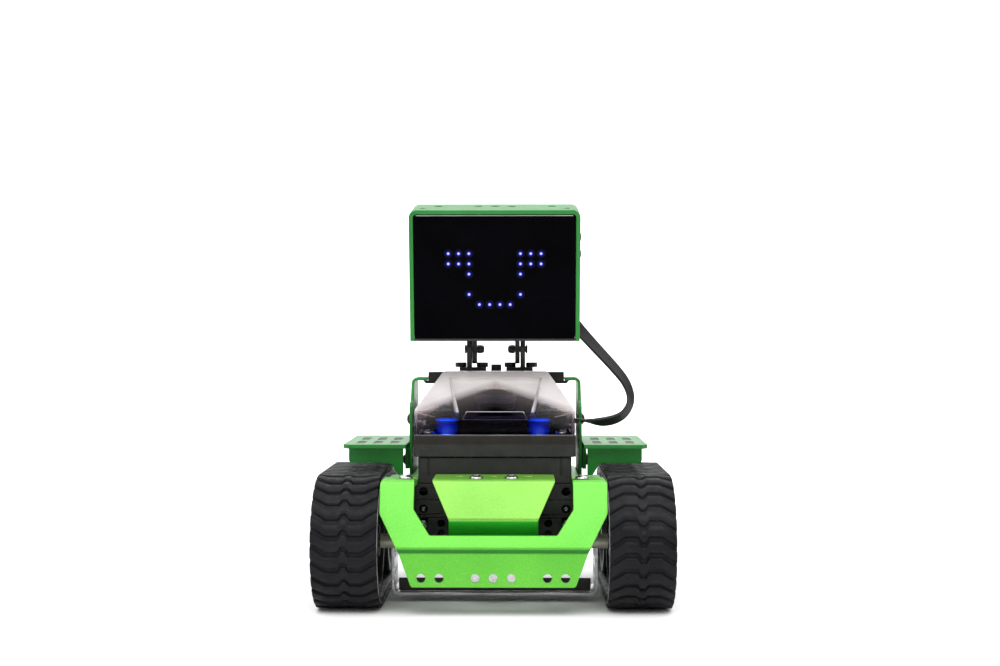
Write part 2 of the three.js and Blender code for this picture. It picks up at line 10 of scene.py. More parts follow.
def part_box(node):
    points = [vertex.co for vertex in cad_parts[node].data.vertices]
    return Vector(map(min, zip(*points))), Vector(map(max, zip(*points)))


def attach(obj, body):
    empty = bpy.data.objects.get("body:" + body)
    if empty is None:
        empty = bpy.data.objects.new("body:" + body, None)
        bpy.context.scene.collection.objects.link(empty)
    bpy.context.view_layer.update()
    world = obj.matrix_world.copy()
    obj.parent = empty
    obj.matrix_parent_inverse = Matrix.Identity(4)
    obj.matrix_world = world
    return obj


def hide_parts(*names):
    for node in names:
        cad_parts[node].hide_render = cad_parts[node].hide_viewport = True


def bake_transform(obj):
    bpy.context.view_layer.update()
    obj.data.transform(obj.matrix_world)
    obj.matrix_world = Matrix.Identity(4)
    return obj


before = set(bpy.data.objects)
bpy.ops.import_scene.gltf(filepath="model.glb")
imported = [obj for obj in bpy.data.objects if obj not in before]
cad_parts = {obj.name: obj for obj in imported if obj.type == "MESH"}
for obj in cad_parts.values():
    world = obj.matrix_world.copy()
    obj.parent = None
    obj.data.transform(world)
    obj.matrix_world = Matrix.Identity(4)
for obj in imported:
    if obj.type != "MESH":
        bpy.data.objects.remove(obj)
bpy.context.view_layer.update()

MM = 0.001
LEFT_RIGHT = (("left", 1), ("right", -1))


def span(node):
    """Lowest and highest corner of a CAD node, in millimetres."""
    low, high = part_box(node)
    return low / MM, high / MM


# ---- places taken from the frame ----
AXLE_Z = sum(v.z for v in span("left_front_wheel")) / 2
AXLE_Y = sum(v.y for v in span("left_rear_wheel")) / 2
TRACK_LOW, TRACK_HIGH = span("left_track_belt")
TREAD_R = TRACK_HIGH.z / 2
GRID = 8
HEAD_TILT = math.radians(11)
HEAD_CENTRE = Vector((0, -6.75, 155.1))
HEAD_PLACE = Matrix.Translation(HEAD_CENTRE) @ Matrix.Rotation(HEAD_TILT, 4, "X")
HINGE = Vector((0, 22, 118))

# ---- camera ----
CAMERA_AT = (0.012, -0.710, 0.126)
CAMERA_YAW = math.radians(0.79)
CAMERA_LENS = 53.1


def make_camera():
    data = bpy.data.cameras.new("camera")
    data.lens = CAMERA_LENS
    data.sensor_width = 36
    data.clip_start = 0.01
    camera = bpy.data.objects.new("camera", data)
    camera.location = CAMERA_AT
    camera.rotation_euler = (math.radians(90), 0, CAMERA_YAW)
    bpy.context.scene.collection.objects.link(camera)
    bpy.context.scene.camera = camera


make_camera()

# ---- material helpers ----


class Look:
    """A node material with a Principled shader, and short calls to add detail to it."""

    def __init__(self, name, color, roughness, metallic=0.0):
        self.material = bpy.data.materials.new(name)
        self.material.use_nodes = True
        self.tree = self.material.node_tree
        self.shader = self.tree.nodes["Principled BSDF"]
        self.set("Base Color", (*color, 1))
        self.set("Roughness", roughness)
        self.set("Metallic", metallic)
        self.coords = self.tree.nodes.new("ShaderNodeTexCoord").outputs["Object"]

    def set(self, socket, value):
        self.shader.inputs[socket].default_value = value

    def link(self, a, b):
        self.tree.links.new(a, b)

    def noise(self, scale, detail=3.0, stretch=(1, 1, 1)):
        mapping = self.tree.nodes.new("ShaderNodeMapping")
        mapping.inputs["Scale"].default_value = stretch
        self.link(self.coords, mapping.inputs["Vector"])
        node = self.tree.nodes.new("ShaderNodeTexNoise")
        node.inputs["Scale"].default_value = scale
        node.inputs["Detail"].default_value = detail
        self.link(mapping.outputs[0], node.inputs["Vector"])
        return node.outputs["Fac"]

    def voronoi(self, scale):
        node = self.tree.nodes.new("ShaderNodeTexVoronoi")
        node.inputs["Scale"].default_value = scale
        self.link(self.coords, node.inputs["Vector"])
        return node.outputs["Distance"]

    def ramp(self, fac, stops):
        node = self.tree.nodes.new("ShaderNodeValToRGB")
        band = node.color_ramp
        band.elements[0].position = stops[0][0]
        band.elements[0].color = (*stops[0][1], 1)
        band.elements[1].position = stops[-1][0]
        band.elements[1].color = (*stops[-1][1], 1)
        for place, color in stops[1:-1]:
            band.elements.new(place).color = (*color, 1)
        self.link(fac, node.inputs["Fac"])
        return node.outputs["Color"]

    def scaled(self, fac, low, high):
        node = self.tree.nodes.new("ShaderNodeMapRange")
        node.inputs["From Min"].default_value = 0.3
        node.inputs["From Max"].default_value = 0.7
        node.inputs["To Min"].default_value = low
        node.inputs["To Max"].default_value = high
        self.link(fac, node.inputs["Value"])
        return node.outputs["Result"]

    def color_from(self, fac, stops):
        self.link(self.ramp(fac, stops), self.shader.inputs["Base Color"])

    def roughness_from(self, fac, low, high):
        self.link(self.scaled(fac, low, high), self.shader.inputs["Roughness"])

    def bump(self, height, strength, distance):
        node = self.tree.nodes.new("ShaderNodeBump")
        node.inputs["Strength"].default_value = strength
        node.inputs["Distance"].default_value = distance
        self.link(height, node.inputs["Height"])
        self.link(node.outputs["Normal"], self.shader.inputs["Normal"])


def along(look, axis, low, high):
    """A factor that rises from 0 to 1 between two places in metres on an axis."""
    split = look.tree.nodes.new("ShaderNodeSeparateXYZ")
    look.link(look.coords, split.inputs[0])
    rise = look.tree.nodes.new("ShaderNodeMapRange")
    rise.inputs["From Min"].default_value = low
    rise.inputs["From Max"].default_value = high
    look.link(split.outputs[axis], rise.inputs["Value"])
    return rise.outputs["Result"]


def clouded(name, base, rough, metal, cloud, dark, light, gloss=(), grain=(), **settings):
    """A look whose colour, roughness and fine relief each follow a noise."""
    look = Look(name, base, rough, metal)
    look.color_from(look.noise(*cloud), [(0.3, dark), (0.7, light)])
    if gloss:
        look.roughness_from(look.noise(*gloss[0]), *gloss[1])
    if grain:
        look.bump(look.noise(*grain[0]), *grain[1])
    for socket, value in settings.items():
        look.set(SOCKETS[socket], value)
    return look.material


SOCKETS = {"specular": "Specular IOR Level", "alpha": "Alpha"}


def multiply(look, first, second, share=1.0):
    mix = look.tree.nodes.new("ShaderNodeMix")
    mix.data_type = "RGBA"
    mix.blend_type = "MULTIPLY"
    mix.inputs["Factor"].default_value = share
    look.link(first, mix.inputs["A"])
    look.link(second, mix.inputs["B"])
    return mix.outputs["Result"]


FULL = (1, 1, 1)
# painted shade by height: multipliers that darken a bend's crease and the face below it
BEND_SHADE_TONES = {
    2: ((0.03, 0.62, 0.10), FULL),
    6: ((1.0, 1.0, 0.9), (0.92, 1.0, 0.85), (0.06, 0.32, 0.10), (0.06, 0.32, 0.10), (0.95, 1.0, 0.9), FULL),
}


def anodised_green(name="anodised_green", bends=(), pale=0.0):
    """Lime green anodised aluminium, bead-blasted: sparkling grain, and painted shade darkening its bends."""
    look = Look(name, (0.10, 0.48, 0.035), 0.42, 0.35)
    red, blue = 0.105 + 0.07 * pale, 0.035 + 0.015 * pale
    tones = [(0.3, (red * 0.9, 0.42, blue * 0.9)), (0.7, (red * 1.1, 0.48, blue * 1.1))]
    sparkle = [(0.3, (0.8, 0.84, 0.78)), (0.5, (0.98, 1.0, 0.98)), (0.68, (1.5, 1.25, 1.6))]
    cloud = look.ramp(look.noise(45, 4), tones)
    grain = look.ramp(look.noise(2600, 1.5), sparkle)
    color = multiply(look, cloud, grain, 0.5)
    # painted shade: the colour is darkened along the bends by height
    if bends:
        low, high = bends[0], bends[-1]
        stops = [((z - low) / (high - low), tone) for z, tone in zip(bends, BEND_SHADE_TONES[len(bends)])]
        color = multiply(look, color, look.ramp(along(look, "Z", low, high), stops))
    look.link(color, look.shader.inputs["Base Color"])
    look.roughness_from(look.noise(2200, 2), 0.28, 0.46)
    look.bump(look.noise(3200, 2), 0.45, 0.00006)
    return look.material


def moulded_black(name="moulded_black", tone=0.021, rough=(0.42, 0.6), rim=()):
    """Moulded plastic with a fine spark-eroded grain."""
    look = Look(name, (tone, tone, tone), rough[0], 0.0)
    warm = (tone * 1.25, tone * 1.2, tone * 1.15)
    color = look.ramp(look.noise(160, 4), [(0.3, (tone * 0.8, tone * 0.8, tone * 0.8)), (0.7, warm)])
    if rim:
        tone_above = look.ramp(along(look, "Z", *rim), [(0.0, FULL), (1.0, (0.62, 0.50, 0.42))])
        color = multiply(look, color, tone_above)
    look.link(color, look.shader.inputs["Base Color"])
    look.roughness_from(look.noise(1500, 3), *rough)
    look.bump(look.voronoi(2600), 0.4, 0.00006)
    look.set("Specular IOR Level", 0.22)
    return look.material


def track_rubber():
    """Matt rubber with a slight bloom of dust."""
    look = Look("track_rubber", (0.007, 0.007, 0.008), 0.6, 0.0)
    look.color_from(look.noise(45, 6), [(0.3, (0.004, 0.004, 0.005)), (0.55, (0.007, 0.007, 0.0085)),
                                        (0.75, (0.012, 0.012, 0.0135))])
    look.roughness_from(look.noise(300, 4), 0.42, 0.66)
    look.set("Specular IOR Level", 0.14)
    look.bump(look.noise(1800, 5), 0.45, 0.00012)
    return look.material


# painted highlight: the pale grey of the ring that stands in for the light along a belt's inner edge
def rim_highlight_rubber():
    look = Look("rim_highlight_rubber", (0.16, 0.16, 0.165), 0.5, 0.0)
    look.color_from(look.noise(120, 4), [(0.35, (0.05, 0.05, 0.055)), (0.6, (0.24, 0.24, 0.25))])
    look.roughness_from(look.noise(300, 3), 0.4, 0.6)
    return look.material


def board_blue(name="board_blue", color=(0.012, 0.016, 0.06)):
    """Solder mask over fine copper tracks."""
    look = Look(name, color, 0.3, 0.0)
    node = look.tree.nodes.new("ShaderNodeTexBrick")
    node.inputs["Scale"].default_value = 260
    node.inputs["Mortar Size"].default_value = 0.03
    node.inputs["Color1"].default_value = (*color, 1)
    node.inputs["Color2"].default_value = (color[0] * 1.7, color[1] * 1.7, color[2] * 1.5, 1)
    node.inputs["Mortar"].default_value = (color[0] * 3, color[1] * 3, color[2] * 2, 1)
    look.link(look.coords, node.inputs["Vector"])
    look.link(node.outputs["Color"], look.shader.inputs["Base Color"])
    look.bump(node.outputs["Fac"], 0.2, 0.00005)
    return look.material


LAMP_SHIFT = -0.9
LAMP_REACH = 21.8
# sideways and forwards from the middle between the lamps, and height
LAMP_SOURCE = (LAMP_REACH, 17.4, 79.2)


def lamp_blue():
    """A frosted blue lens, lit by a diode at the front of its foot and dark towards its rim and flanks."""
    look = Look("lamp_blue", (0.01, 0.02, 0.2), 0.25, 0.0)
    shift = look.tree.nodes.new("ShaderNodeVectorMath")
    shift.inputs[1].default_value = (-LAMP_SHIFT * MM, 0, 0)
    look.link(look.coords, shift.inputs[0])
    both = look.tree.nodes.new("ShaderNodeVectorMath")
    both.operation = "ABSOLUTE"
    look.link(shift.outputs["Vector"], both.inputs[0])
    away = look.tree.nodes.new("ShaderNodeVectorMath")
    away.operation = "DISTANCE"
    away.inputs[1].default_value = [v * MM for v in LAMP_SOURCE]
    look.link(both.outputs["Vector"], away.inputs[0])
    fall = look.tree.nodes.new("ShaderNodeMapRange")
    fall.inputs["From Max"].default_value = 0.010
    look.link(away.outputs["Value"], fall.inputs["Value"])
    glow = look.ramp(fall.outputs["Result"], [
        (0.0, (0.30, 0.60, 1.0)), (0.14, (0.12, 0.36, 1.0)), (0.30, (0.01, 0.10, 0.80)),
        (0.48, (0.0, 0.03, 0.36)), (0.70, (0.0, 0.012, 0.13)), (1.0, (0.0, 0.004, 0.04))])
    look.link(glow, look.shader.inputs["Emission Color"])
    look.set("Emission Strength", 50.0)
    look.bump(look.noise(900, 2), 0.2, 0.00005)
    return look.material


def dot_blue():
    """Lit points: white in the middle and fading through blue into the dark panel."""
    look = Look("dot_blue", (0.0, 0.0, 0.002), 0.3, 0.0)
    look.set("Specular IOR Level", 0.05)
    share = look.tree.nodes.new("ShaderNodeAttribute")
    share.attribute_name = "glow"
    glow = look.ramp(share.outputs["Fac"], [
        (0.0, (0.0, 0.0, 0.0)), (0.25, (0.0, 0.0, 0.02)), (0.55, (0.001, 0.003, 0.16)),
        (0.80, (0.03, 0.05, 0.9)),
        (1.0, (0.75, 0.75, 1.0))])
    look.link(glow, look.shader.inputs["Emission Color"])
    look.set("Emission Strength", 1.0)
    return look.material


def smoky_shell():
    """Smoked plastic, dark low down and almost clear above, with a painted pale reflection over its crown."""
    look = Look("smoky_shell", (0.72, 0.68, 0.68), 0.25, 0.0)
    look.color_from(look.noise(70, 3), [(0.3, (0.66, 0.62, 0.61)), (0.7, (0.78, 0.74, 0.73))])
    nodes = look.tree.nodes
    split = nodes.new("ShaderNodeSeparateXYZ")
    look.link(look.coords, split.inputs[0])
    width = nodes.new("ShaderNodeMath")
    width.operation = "ABSOLUTE"
    look.link(split.outputs["X"], width.inputs[0])
    lean = nodes.new("ShaderNodeMath")
    lean.operation = "MULTIPLY_ADD"
    lean.inputs[1].default_value = 0.33
    look.link(width.outputs[0], lean.inputs[0])
    look.link(split.outputs["Z"], lean.inputs[2])
    clear = nodes.new("ShaderNodeBsdfTransparent")
    fade = nodes.new("ShaderNodeMapRange")
    fade.inputs["From Min"].default_value = 0.090
    fade.inputs["From Max"].default_value = 0.106
    look.link(lean.outputs[0], fade.inputs["Value"])
    tint = look.ramp(fade.outputs["Result"], [
        (0.0, (0.24, 0.22, 0.31)), (0.36, (0.36, 0.32, 0.35)), (0.60, (0.66, 0.61, 0.60)),
        (1.0, (0.88, 0.86, 0.86))])
    look.link(tint, clear.inputs["Color"])
    gloss = nodes.new("ShaderNodeBsdfGlossy")
    gloss.inputs["Color"].default_value = (0.95, 0.94, 0.96, 1)
    gloss.inputs["Roughness"].default_value = 0.05
    facing = nodes.new("ShaderNodeFresnel")
    facing.inputs["IOR"].default_value = 1.12
    shine = nodes.new("ShaderNodeMixShader")
    look.link(facing.outputs[0], shine.inputs["Fac"])
    look.link(clear.outputs[0], shine.inputs[1])
    look.link(gloss.outputs[0], shine.inputs[2])
    # painted reflection: a pale sheen mixed in over the crown by height
    crown = look.ramp(fade.outputs["Result"],
                      [(0.0, (0, 0, 0)), (0.60, (0.06, 0.06, 0.06)), (0.86, (0.72, 0.72, 0.72))])
    painted_crown_reflection = nodes.new("ShaderNodeMixShader")
    look.link(crown, painted_crown_reflection.inputs["Fac"])
    look.link(shine.outputs[0], painted_crown_reflection.inputs[1])
    look.link(look.shader.outputs[0], painted_crown_reflection.inputs[2])
    look.link(painted_crown_reflection.outputs[0], nodes["Material Output"].inputs["Surface"])
    return look.material


GREEN = anodised_green()
# painted shade: a dark band along the bumper's crease with a slightly darker lip below it, and a darker downward fold
# under the centre plate
BUMPER_GREEN = anodised_green("bumper_green", (0.0136, 0.0284, 0.0290, 0.0303, 0.0309, 0.05))
CENTRE_GREEN = anodised_green("centre_green", (0.0418, 0.0426), 1.0)
# the same finish painted darker and cooler as painted shade, for the fenders and side plates that sit in shade
SHADED_GREEN = clouded("shaded_green", (0.014, 0.18, 0.024), 0.42, 0.4, (60, 5), (0.011, 0.16, 0.020),
                     (0.018, 0.21, 0.030), ((2200, 2), (0.34, 0.52)), ((3200, 2), (0.45, 0.00006)))
SILVER = clouded("brushed_silver", (0.36, 0.36, 0.37), 0.3, 1.0, (90, 3), (0.29, 0.29, 0.30),
                 (0.42, 0.42, 0.43),
                 ((900, 3, (0.06, 1, 1)), (0.22, 0.42)), ((1500, 3, (0.04, 1, 1)), (0.25, 0.00004)))
STEEL = clouded("bright_steel", (0.5, 0.5, 0.5), 0.2, 1.0, (700, 3), (0.38, 0.38, 0.38), (0.58, 0.58, 0.57),
                ((1600, 3), (0.14, 0.3)))
NYLON = clouded("warm_nylon", (0.40, 0.37, 0.30), 0.38, 0.25, (250, 4), (0.34, 0.31, 0.25),
                (0.47, 0.44, 0.37),
                grain=((1800, 3, (0.2, 1, 1)), (0.2, 0.00005)))
BLACK_METAL = clouded("black_anodised", (0.026, 0.026, 0.025), 0.4, 0.3, (120, 4), (0.018, 0.018, 0.017),
                      (0.036, 0.036, 0.034), ((2000, 2), (0.3, 0.5)), ((3000, 2), (0.3, 0.00005)),
                      specular=0.2)
BLACK_PLASTIC = moulded_black()
TRAY_PLASTIC = moulded_black("tray_plastic", 0.021, (0.38, 0.55), (0.0736, 0.0742))
CASE_PLASTIC = moulded_black("case_plastic", 0.022, (0.38, 0.55))
PANEL = clouded("polished_black", (0.001, 0.001, 0.0016), 0.12, 0.0, (40, 3), (0.0006, 0.0006, 0.001),
                (0.0014, 0.0014, 0.0022), ((30, 4), (0.10, 0.20)), specular=0.008)
RUBBER = track_rubber()
RIM_HIGHLIGHT = rim_highlight_rubber()
BOARD = board_blue()
LAMP = lamp_blue()
DOT = dot_blue()
SMOKE = smoky_shell()
AMBER = clouded("amber_plastic", (0.16, 0.10, 0.045), 0.4, 0.0, (200, 4), (0.11, 0.065, 0.03),
                (0.20, 0.13, 0.06),
                grain=((1200, 3), (0.2, 0.0001)))
# pale bars that paint the highlights on the cover's bends
BEND_HIGHLIGHT = clouded("painted_bend_highlight", (0.62, 0.58, 0.60), 0.12, 0.0, (90, 3), (0.42, 0.39, 0.41), (0.75, 0.72, 0.74),
               ((60, 3), (0.08, 0.22)), alpha=0.8)
CELL = clouded("cell_wrap", (0.03, 0.12, 0.35), 0.3, 0.1, (80, 3), (0.02, 0.09, 0.28), (0.05, 0.16, 0.42),
               grain=((600, 3, (1, 0.1, 1)), (0.2, 0.0001)))
SHEATH = clouded("cable_sheath", (0.010, 0.010, 0.012), 0.36, 0.0, (150, 4), (0.004, 0.004, 0.005),
                 (0.010, 0.010, 0.011), ((700, 3), (0.3, 0.48)), ((1500, 3), (0.25, 0.00006)), specular=0.25)

# ---- mesh helpers ----


def fillet(before, corner, after, radius, steps):
    """Points of a round corner, from one side of it to the other."""
    a = (Vector(before) - Vector(corner)).normalized()
    b = (Vector(after) - Vector(corner)).normalized()
    opening = a.angle(b)
    if radius <= 0 or opening > math.radians(178):
        return [Vector(corner)]
    reach = radius / math.tan(opening / 2)
    longest = 0.49 * min((Vector(before) - Vector(corner)).length, (Vector(after) - Vector(corner)).length)
    if reach > longest:
        radius *= longest / reach
        reach = longest
    centre = Vector(corner) + (a + b).normalized() * radius / math.sin(opening / 2)
    start = Vector(corner) + a * reach - centre
    end = Vector(corner) + b * reach - centre
    swing = start.angle_signed(end) if start.length and end.length else 0
    points = []
    for n in range(steps + 1):
        turn = Matrix.Rotation(-swing * n / steps, 2)
        points.append(centre + turn @ start)
    return points


def rounded(outline, steps=5):
    """A closed outline of (a, b, radius) corners, as plain points."""
    flat = [(p[0], p[1]) for p in outline]
    points = []
    for n, corner in enumerate(outline):
        radius = corner[2] if len(corner) > 2 else 0
        points += fillet(flat[n - 1], flat[n], flat[(n + 1) % len(flat)], radius, steps)
    return points


def oblong(left, near, right, far, radius, steps=5):
    """A rectangle with round corners."""
    return rounded([(left, near, radius), (right, near, radius), (right, far, radius), (left, far, radius)],
                   steps)


def band(path, thickness, radius, steps=6):
    """The closed section of a sheet that is bent along an open path of its middle line."""
    middle = [Vector(path[0])]
    for n in range(1, len(path) - 1):
        middle += fillet(path[n - 1], path[n], path[n + 1], radius, steps)
    middle.append(Vector(path[-1]))
    sides = ([], [])
    for n, point in enumerate(middle):
        ahead = middle[min(n + 1, len(middle) - 1)] - point
        behind = point - middle[max(n - 1, 0)]
        run = (ahead.normalized() + behind.normalized()).normalized()
        normal = Vector((-run.y, run.x))
        sides[0].append(point + normal * thickness / 2)
        sides[1].append(point - normal * thickness / 2)
    return sides[0] + sides[1][::-1]


AXES = {
    "x": (Vector((0, 1, 0)), Vector((0, 0, 1)), Vector((1, 0, 0))),
    "y": (Vector((1, 0, 0)), Vector((0, 0, 1)), Vector((0, 1, 0))),
    "z": (Vector((1, 0, 0)), Vector((0, 1, 0)), Vector((0, 0, 1))),
}


def bridge(bm, a, b):
    """Faces between two closed rings of as many points."""
    for n in range(len(a)):
        m = (n + 1) % len(a)
        bm.faces.new((a[n], a[m], b[m], b[n]))


def add_prism(bm, axis, outline, start, end):
    """Pushes a closed outline from one plane to another along X, Y or Z."""
    u, v, w = AXES[axis]
    rings = []
    for depth in (start, end):
        rings.append([bm.verts.new(u * p[0] + v * p[1] + w * depth) for p in outline])
    bm.faces.new(rings[0])
    bm.faces.new(rings[1])
    bridge(bm, *rings)


def prism(axis, outline, start, end):
    bm = bmesh.new()
    add_prism(bm, axis, outline, start, end)
    return bm


def add_block(bm, x, y, z):
    """A plain block between two corners, as a part of something larger."""
    add_prism(bm, "z", [(x[0], y[0]), (x[1], y[0]), (x[1], y[1]), (x[0], y[1])], z[0], z[1])


def blocks(*boxes):
    """One mesh of separate plain blocks, each given by its limits along X, Y and Z."""
    bm = bmesh.new()
    for box in boxes:
        add_block(bm, *box)
    return bm


def circle(centre, radius, count=24):
    turns = [math.tau * n / count for n in range(count)]
    return [(centre[0] + radius * math.cos(t), centre[1] + radius * math.sin(t)) for t in turns]


def drills(holes):
    """One mesh of separate round drills: (axis, centre, radius, start, end)."""
    bm = bmesh.new()
    for axis, centre, radius, start, end in holes:
        add_prism(bm, axis, circle(centre, radius), start, end)
    return bm


def add_turned(bm, axis, centre, profile, count=32):
    """Turns a profile of (radius, distance) about an axis; without a radius of 0 at its ends it is a ring."""
    u, v, w = AXES[axis]
    base = u * centre[0] + v * centre[1]
    rings = []
    for radius, along in profile:
        if radius < 1e-6:
            rings.append([bm.verts.new(base + w * along)])
            continue
        ring = []
        for n in range(count):
            angle = 2 * math.pi * n / count
            ring.append(bm.verts.new(base + w * along + (u * math.cos(angle) + v * math.sin(angle)) * radius))
        rings.append(ring)
    pairs = list(zip(rings, rings[1:]))
    if len(rings[0]) > 1 and len(rings[-1]) > 1:
        pairs.append((rings[-1], rings[0]))
    for a, b in pairs:
        if len(a) == len(b):
            bridge(bm, a, b)
            continue
        tip, ring = (a, b) if len(a) == 1 else (b, a)
        for n in range(count):
            bm.faces.new((tip[0], ring[n], ring[(n + 1) % count]))


def turned(axis, centre, profile, count=32, side=1):
    """A turned mesh of its own; side -1 mirrors the profile's distances."""
    bm = bmesh.new()
    add_turned(bm, axis, centre, [(r, side * along) for r, along in profile], count)
    return bm


def mesh_object(name, bm):
    bmesh.ops.recalc_face_normals(bm, faces=bm.faces[:])
    mesh = bpy.data.meshes.new(name)
    bm.to_mesh(mesh)
    bm.free()
    obj = bpy.data.objects.new(name, mesh)
    bpy.context.scene.collection.objects.link(obj)
    return obj


def combine(obj, tool, operation):
    """Cuts, joins or overlaps two solids, and keeps the result as plain mesh."""
    if not isinstance(tool, bpy.types.Object):
        tool = mesh_object("tool", tool)
    change = obj.modifiers.new("combine", "BOOLEAN")
    change.operation = operation
    change.solver = "EXACT"
    change.object = tool
    bpy.context.view_layer.update()
    result = bpy.data.meshes.new_from_object(obj.evaluated_get(bpy.context.evaluated_depsgraph_get()))
    obj.modifiers.clear()
    obj.data = result
    bpy.data.objects.remove(tool)


def finish_piece(obj, body, material, nodes=(), edge=0.25, place=None, smooth=32):
    """Places a piece in metres on its body, softens its edges and gives it its material."""
    mesh = obj.data
    if place is not None:
        mesh.transform(place)
    mesh.transform(Matrix.Scale(MM, 4))
    mesh.materials.clear()
    mesh.materials.append(material)
    mesh.shade_smooth()
    if edge:
        bevel = obj.modifiers.new("edges", "BEVEL")
        bevel.width = edge * MM
        bevel.segments = 2
        bevel.limit_method = "ANGLE"
        bevel.angle_limit = math.radians(38)
        bevel.use_clamp_overlap = False
        bevel.miter_outer = "MITER_ARC"
        even = obj.modifiers.new("even", "WEIGHTED_NORMAL")
        even.keep_sharp = True
    else:
        mesh.set_sharp_from_angle(angle=math.radians(smooth))
    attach(obj, body)
    if nodes:
        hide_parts(*nodes)


def solid_piece(name, bm, body, material, nodes=(), holes=(), **options):
    """Turns a mesh into a finished piece, with round holes drilled first."""
    obj = mesh_object(name, bm)
    if holes:
        combine(obj, drills(holes), "DIFFERENCE")
    finish_piece(obj, body, material, nodes, **options)


def repaint(node, material):
    """Gives a CAD node that stays in view its material."""
    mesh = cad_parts[node].data
    mesh.materials.clear()
    mesh.materials.append(material)


def button_screws(name, body, material, places, radius=3.2, height=1.9, place=None):
    """Round-headed screws with a hexagon socket: (axis, centre, seat, direction)."""
    bm = bmesh.new()
    count = 30
    for axis, centre, seat, way in places:
        u, v, w = AXES[axis]
        base = u * centre[0] + v * centre[1] + w * seat
        dome = [(radius * 0.97, 0.0), (radius, 0.12 * height), (radius * 0.985, 0.3 * height)]
        for n in range(1, 6):
            angle = math.radians(18 + 14 * n)
            dome.append((radius * math.cos(angle) * 1.03,
                         height * math.sin(angle) / math.sin(math.radians(88))))
        hexagon = radius * 0.47
        dome = [p for p in dome if p[0] > hexagon * 1.2]
        top = height * 0.99
        rings = []
        for r, h in dome:
            rings.append([(r, h)] * count)
        for depth, shrink in ((top, 1.0), (top - 0.12 * height, 0.94), (top - 0.62 * height, 0.92)):
            ring = []
            for n in range(count):
                angle = (2 * math.pi * n / count) % (math.pi / 3) - math.pi / 6
                ring.append((hexagon * shrink * math.cos(math.pi / 6) / math.cos(angle), depth))
            rings.append(ring)
        made = []
        for ring in rings:
            line = []
            for n, (r, h) in enumerate(ring):
                angle = 2 * math.pi * n / count
                out = u * math.cos(angle) + v * math.sin(angle)
                line.append(bm.verts.new(base + w * way * h + out * r))
            made.append(line)
        for a, b in zip(made, made[1:]):
            bridge(bm, a, b)
        bm.faces.new(made[0])
        bm.faces.new(made[-1])
    obj = mesh_object(name, bm)
    finish_piece(obj, body, material, edge=0, place=place, smooth=40)


# ---- ribbon cable (first, with the camera, because its room is checked) ----
CABLE_ROUTE = [
    (31.9, 15.7, 135.5), (35, 15.9, 134.2), (38, 15.7, 131.2), (42, 14.8, 126.6), (47, 13, 121),
    (53, 10.4, 114.4), (58.5, 8, 108.2), (62.8, 5.6, 102.4), (65, 3.2, 96.5), (64.6, 1, 91.4),
    (61.6, -1, 87), (57, -2.4, 84.6), (52, -3, 83.6), (48, -3, 83.6), (44, -3, 84), (40.8, -3, 84.1),
]
# degrees at each point of the route, from facing ahead to lying flat
CABLE_TURN = [0, 5, 15, 28, 36, 42, 46, 52, 58, 60, 55, 48, 50, 66, 84, 90]
CABLE_WIDTH = 5.8
CABLE_THICK = 1.6
CORES = 6


def smooth_line(points, steps):
    """A Catmull-Rom curve through the points."""
    knots = [Vector(p) for p in points]
    knots = [2 * knots[0] - knots[1]] + knots + [2 * knots[-1] - knots[-2]]
    line = []
    for a, b, c, d in zip(knots, knots[1:], knots[2:], knots[3:]):
        for n in range(steps):
            t = n / steps
            line.append(0.5 * (2 * b + (c - a) * t + (2 * a - 5 * b + 4 * c - d) * t * t
                               + (3 * b - a - 3 * c + d) * t ** 3))
    line.append(knots[-2])
    return line


def ribbon_section():
    """Half-round ribs side by side: (across, out) round the flat cable's edge."""
    pitch = CABLE_WIDTH / CORES
    upper = []
    for core in range(CORES):
        for n in range(6):
            angle = math.pi * (1 - (n + 0.5) / 6)
            across = (core + 0.5) * pitch - CABLE_WIDTH / 2 + pitch / 2 * math.cos(angle)
            upper.append((across, CABLE_THICK / 2 * (0.72 + 0.28 * math.sin(angle))))
    edge = [(CABLE_WIDTH / 2, 0)]
    lower = [(a, -o) for a, o in reversed(upper)]
    return upper + edge + lower + [(-CABLE_WIDTH / 2, 0)]


def ribbon_cable():
    line = smooth_line(CABLE_ROUTE, 6)
    section = ribbon_section()
    turns = smooth_line([(t, 0, 0) for t in CABLE_TURN], 6)
    bm = bmesh.new()
    rings = []
    for n, point in enumerate(line):
        run = (line[min(n + 1, len(line) - 1)] - line[max(n - 1, 0)]).normalized()
        ahead = Vector((0, 1, 0))
        ahead = (ahead - run * ahead.dot(run)).normalized()
        turn = math.radians(turns[n].x)
        across = (run.cross(ahead) * math.cos(turn) + ahead * math.sin(turn)).normalized()
        out = run.cross(across).normalized()
        rings.append([bm.verts.new(point + across * a + out * o) for a, o in section])
    for a, b in zip(rings, rings[1:]):
        bridge(bm, a, b)
    bm.faces.new(rings[0])
    bm.faces.new(rings[-1][::-1])
    obj = mesh_object("cable_ribbon", bm)
    obj.data.transform(Matrix.Scale(MM, 4))
    obj.data.materials.append(SHEATH)
    obj.data.shade_smooth()
    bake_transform(obj)
    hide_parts("ribbon_cable")


ribbon_cable()

# ---- green plates ----
HOLE = 2.0


def mirror_outline(half):
    """Adds the left-right mirror image of a half outline of (x, z, radius)."""
    return half + [(-p[0], *p[1:]) for p in reversed(half)]


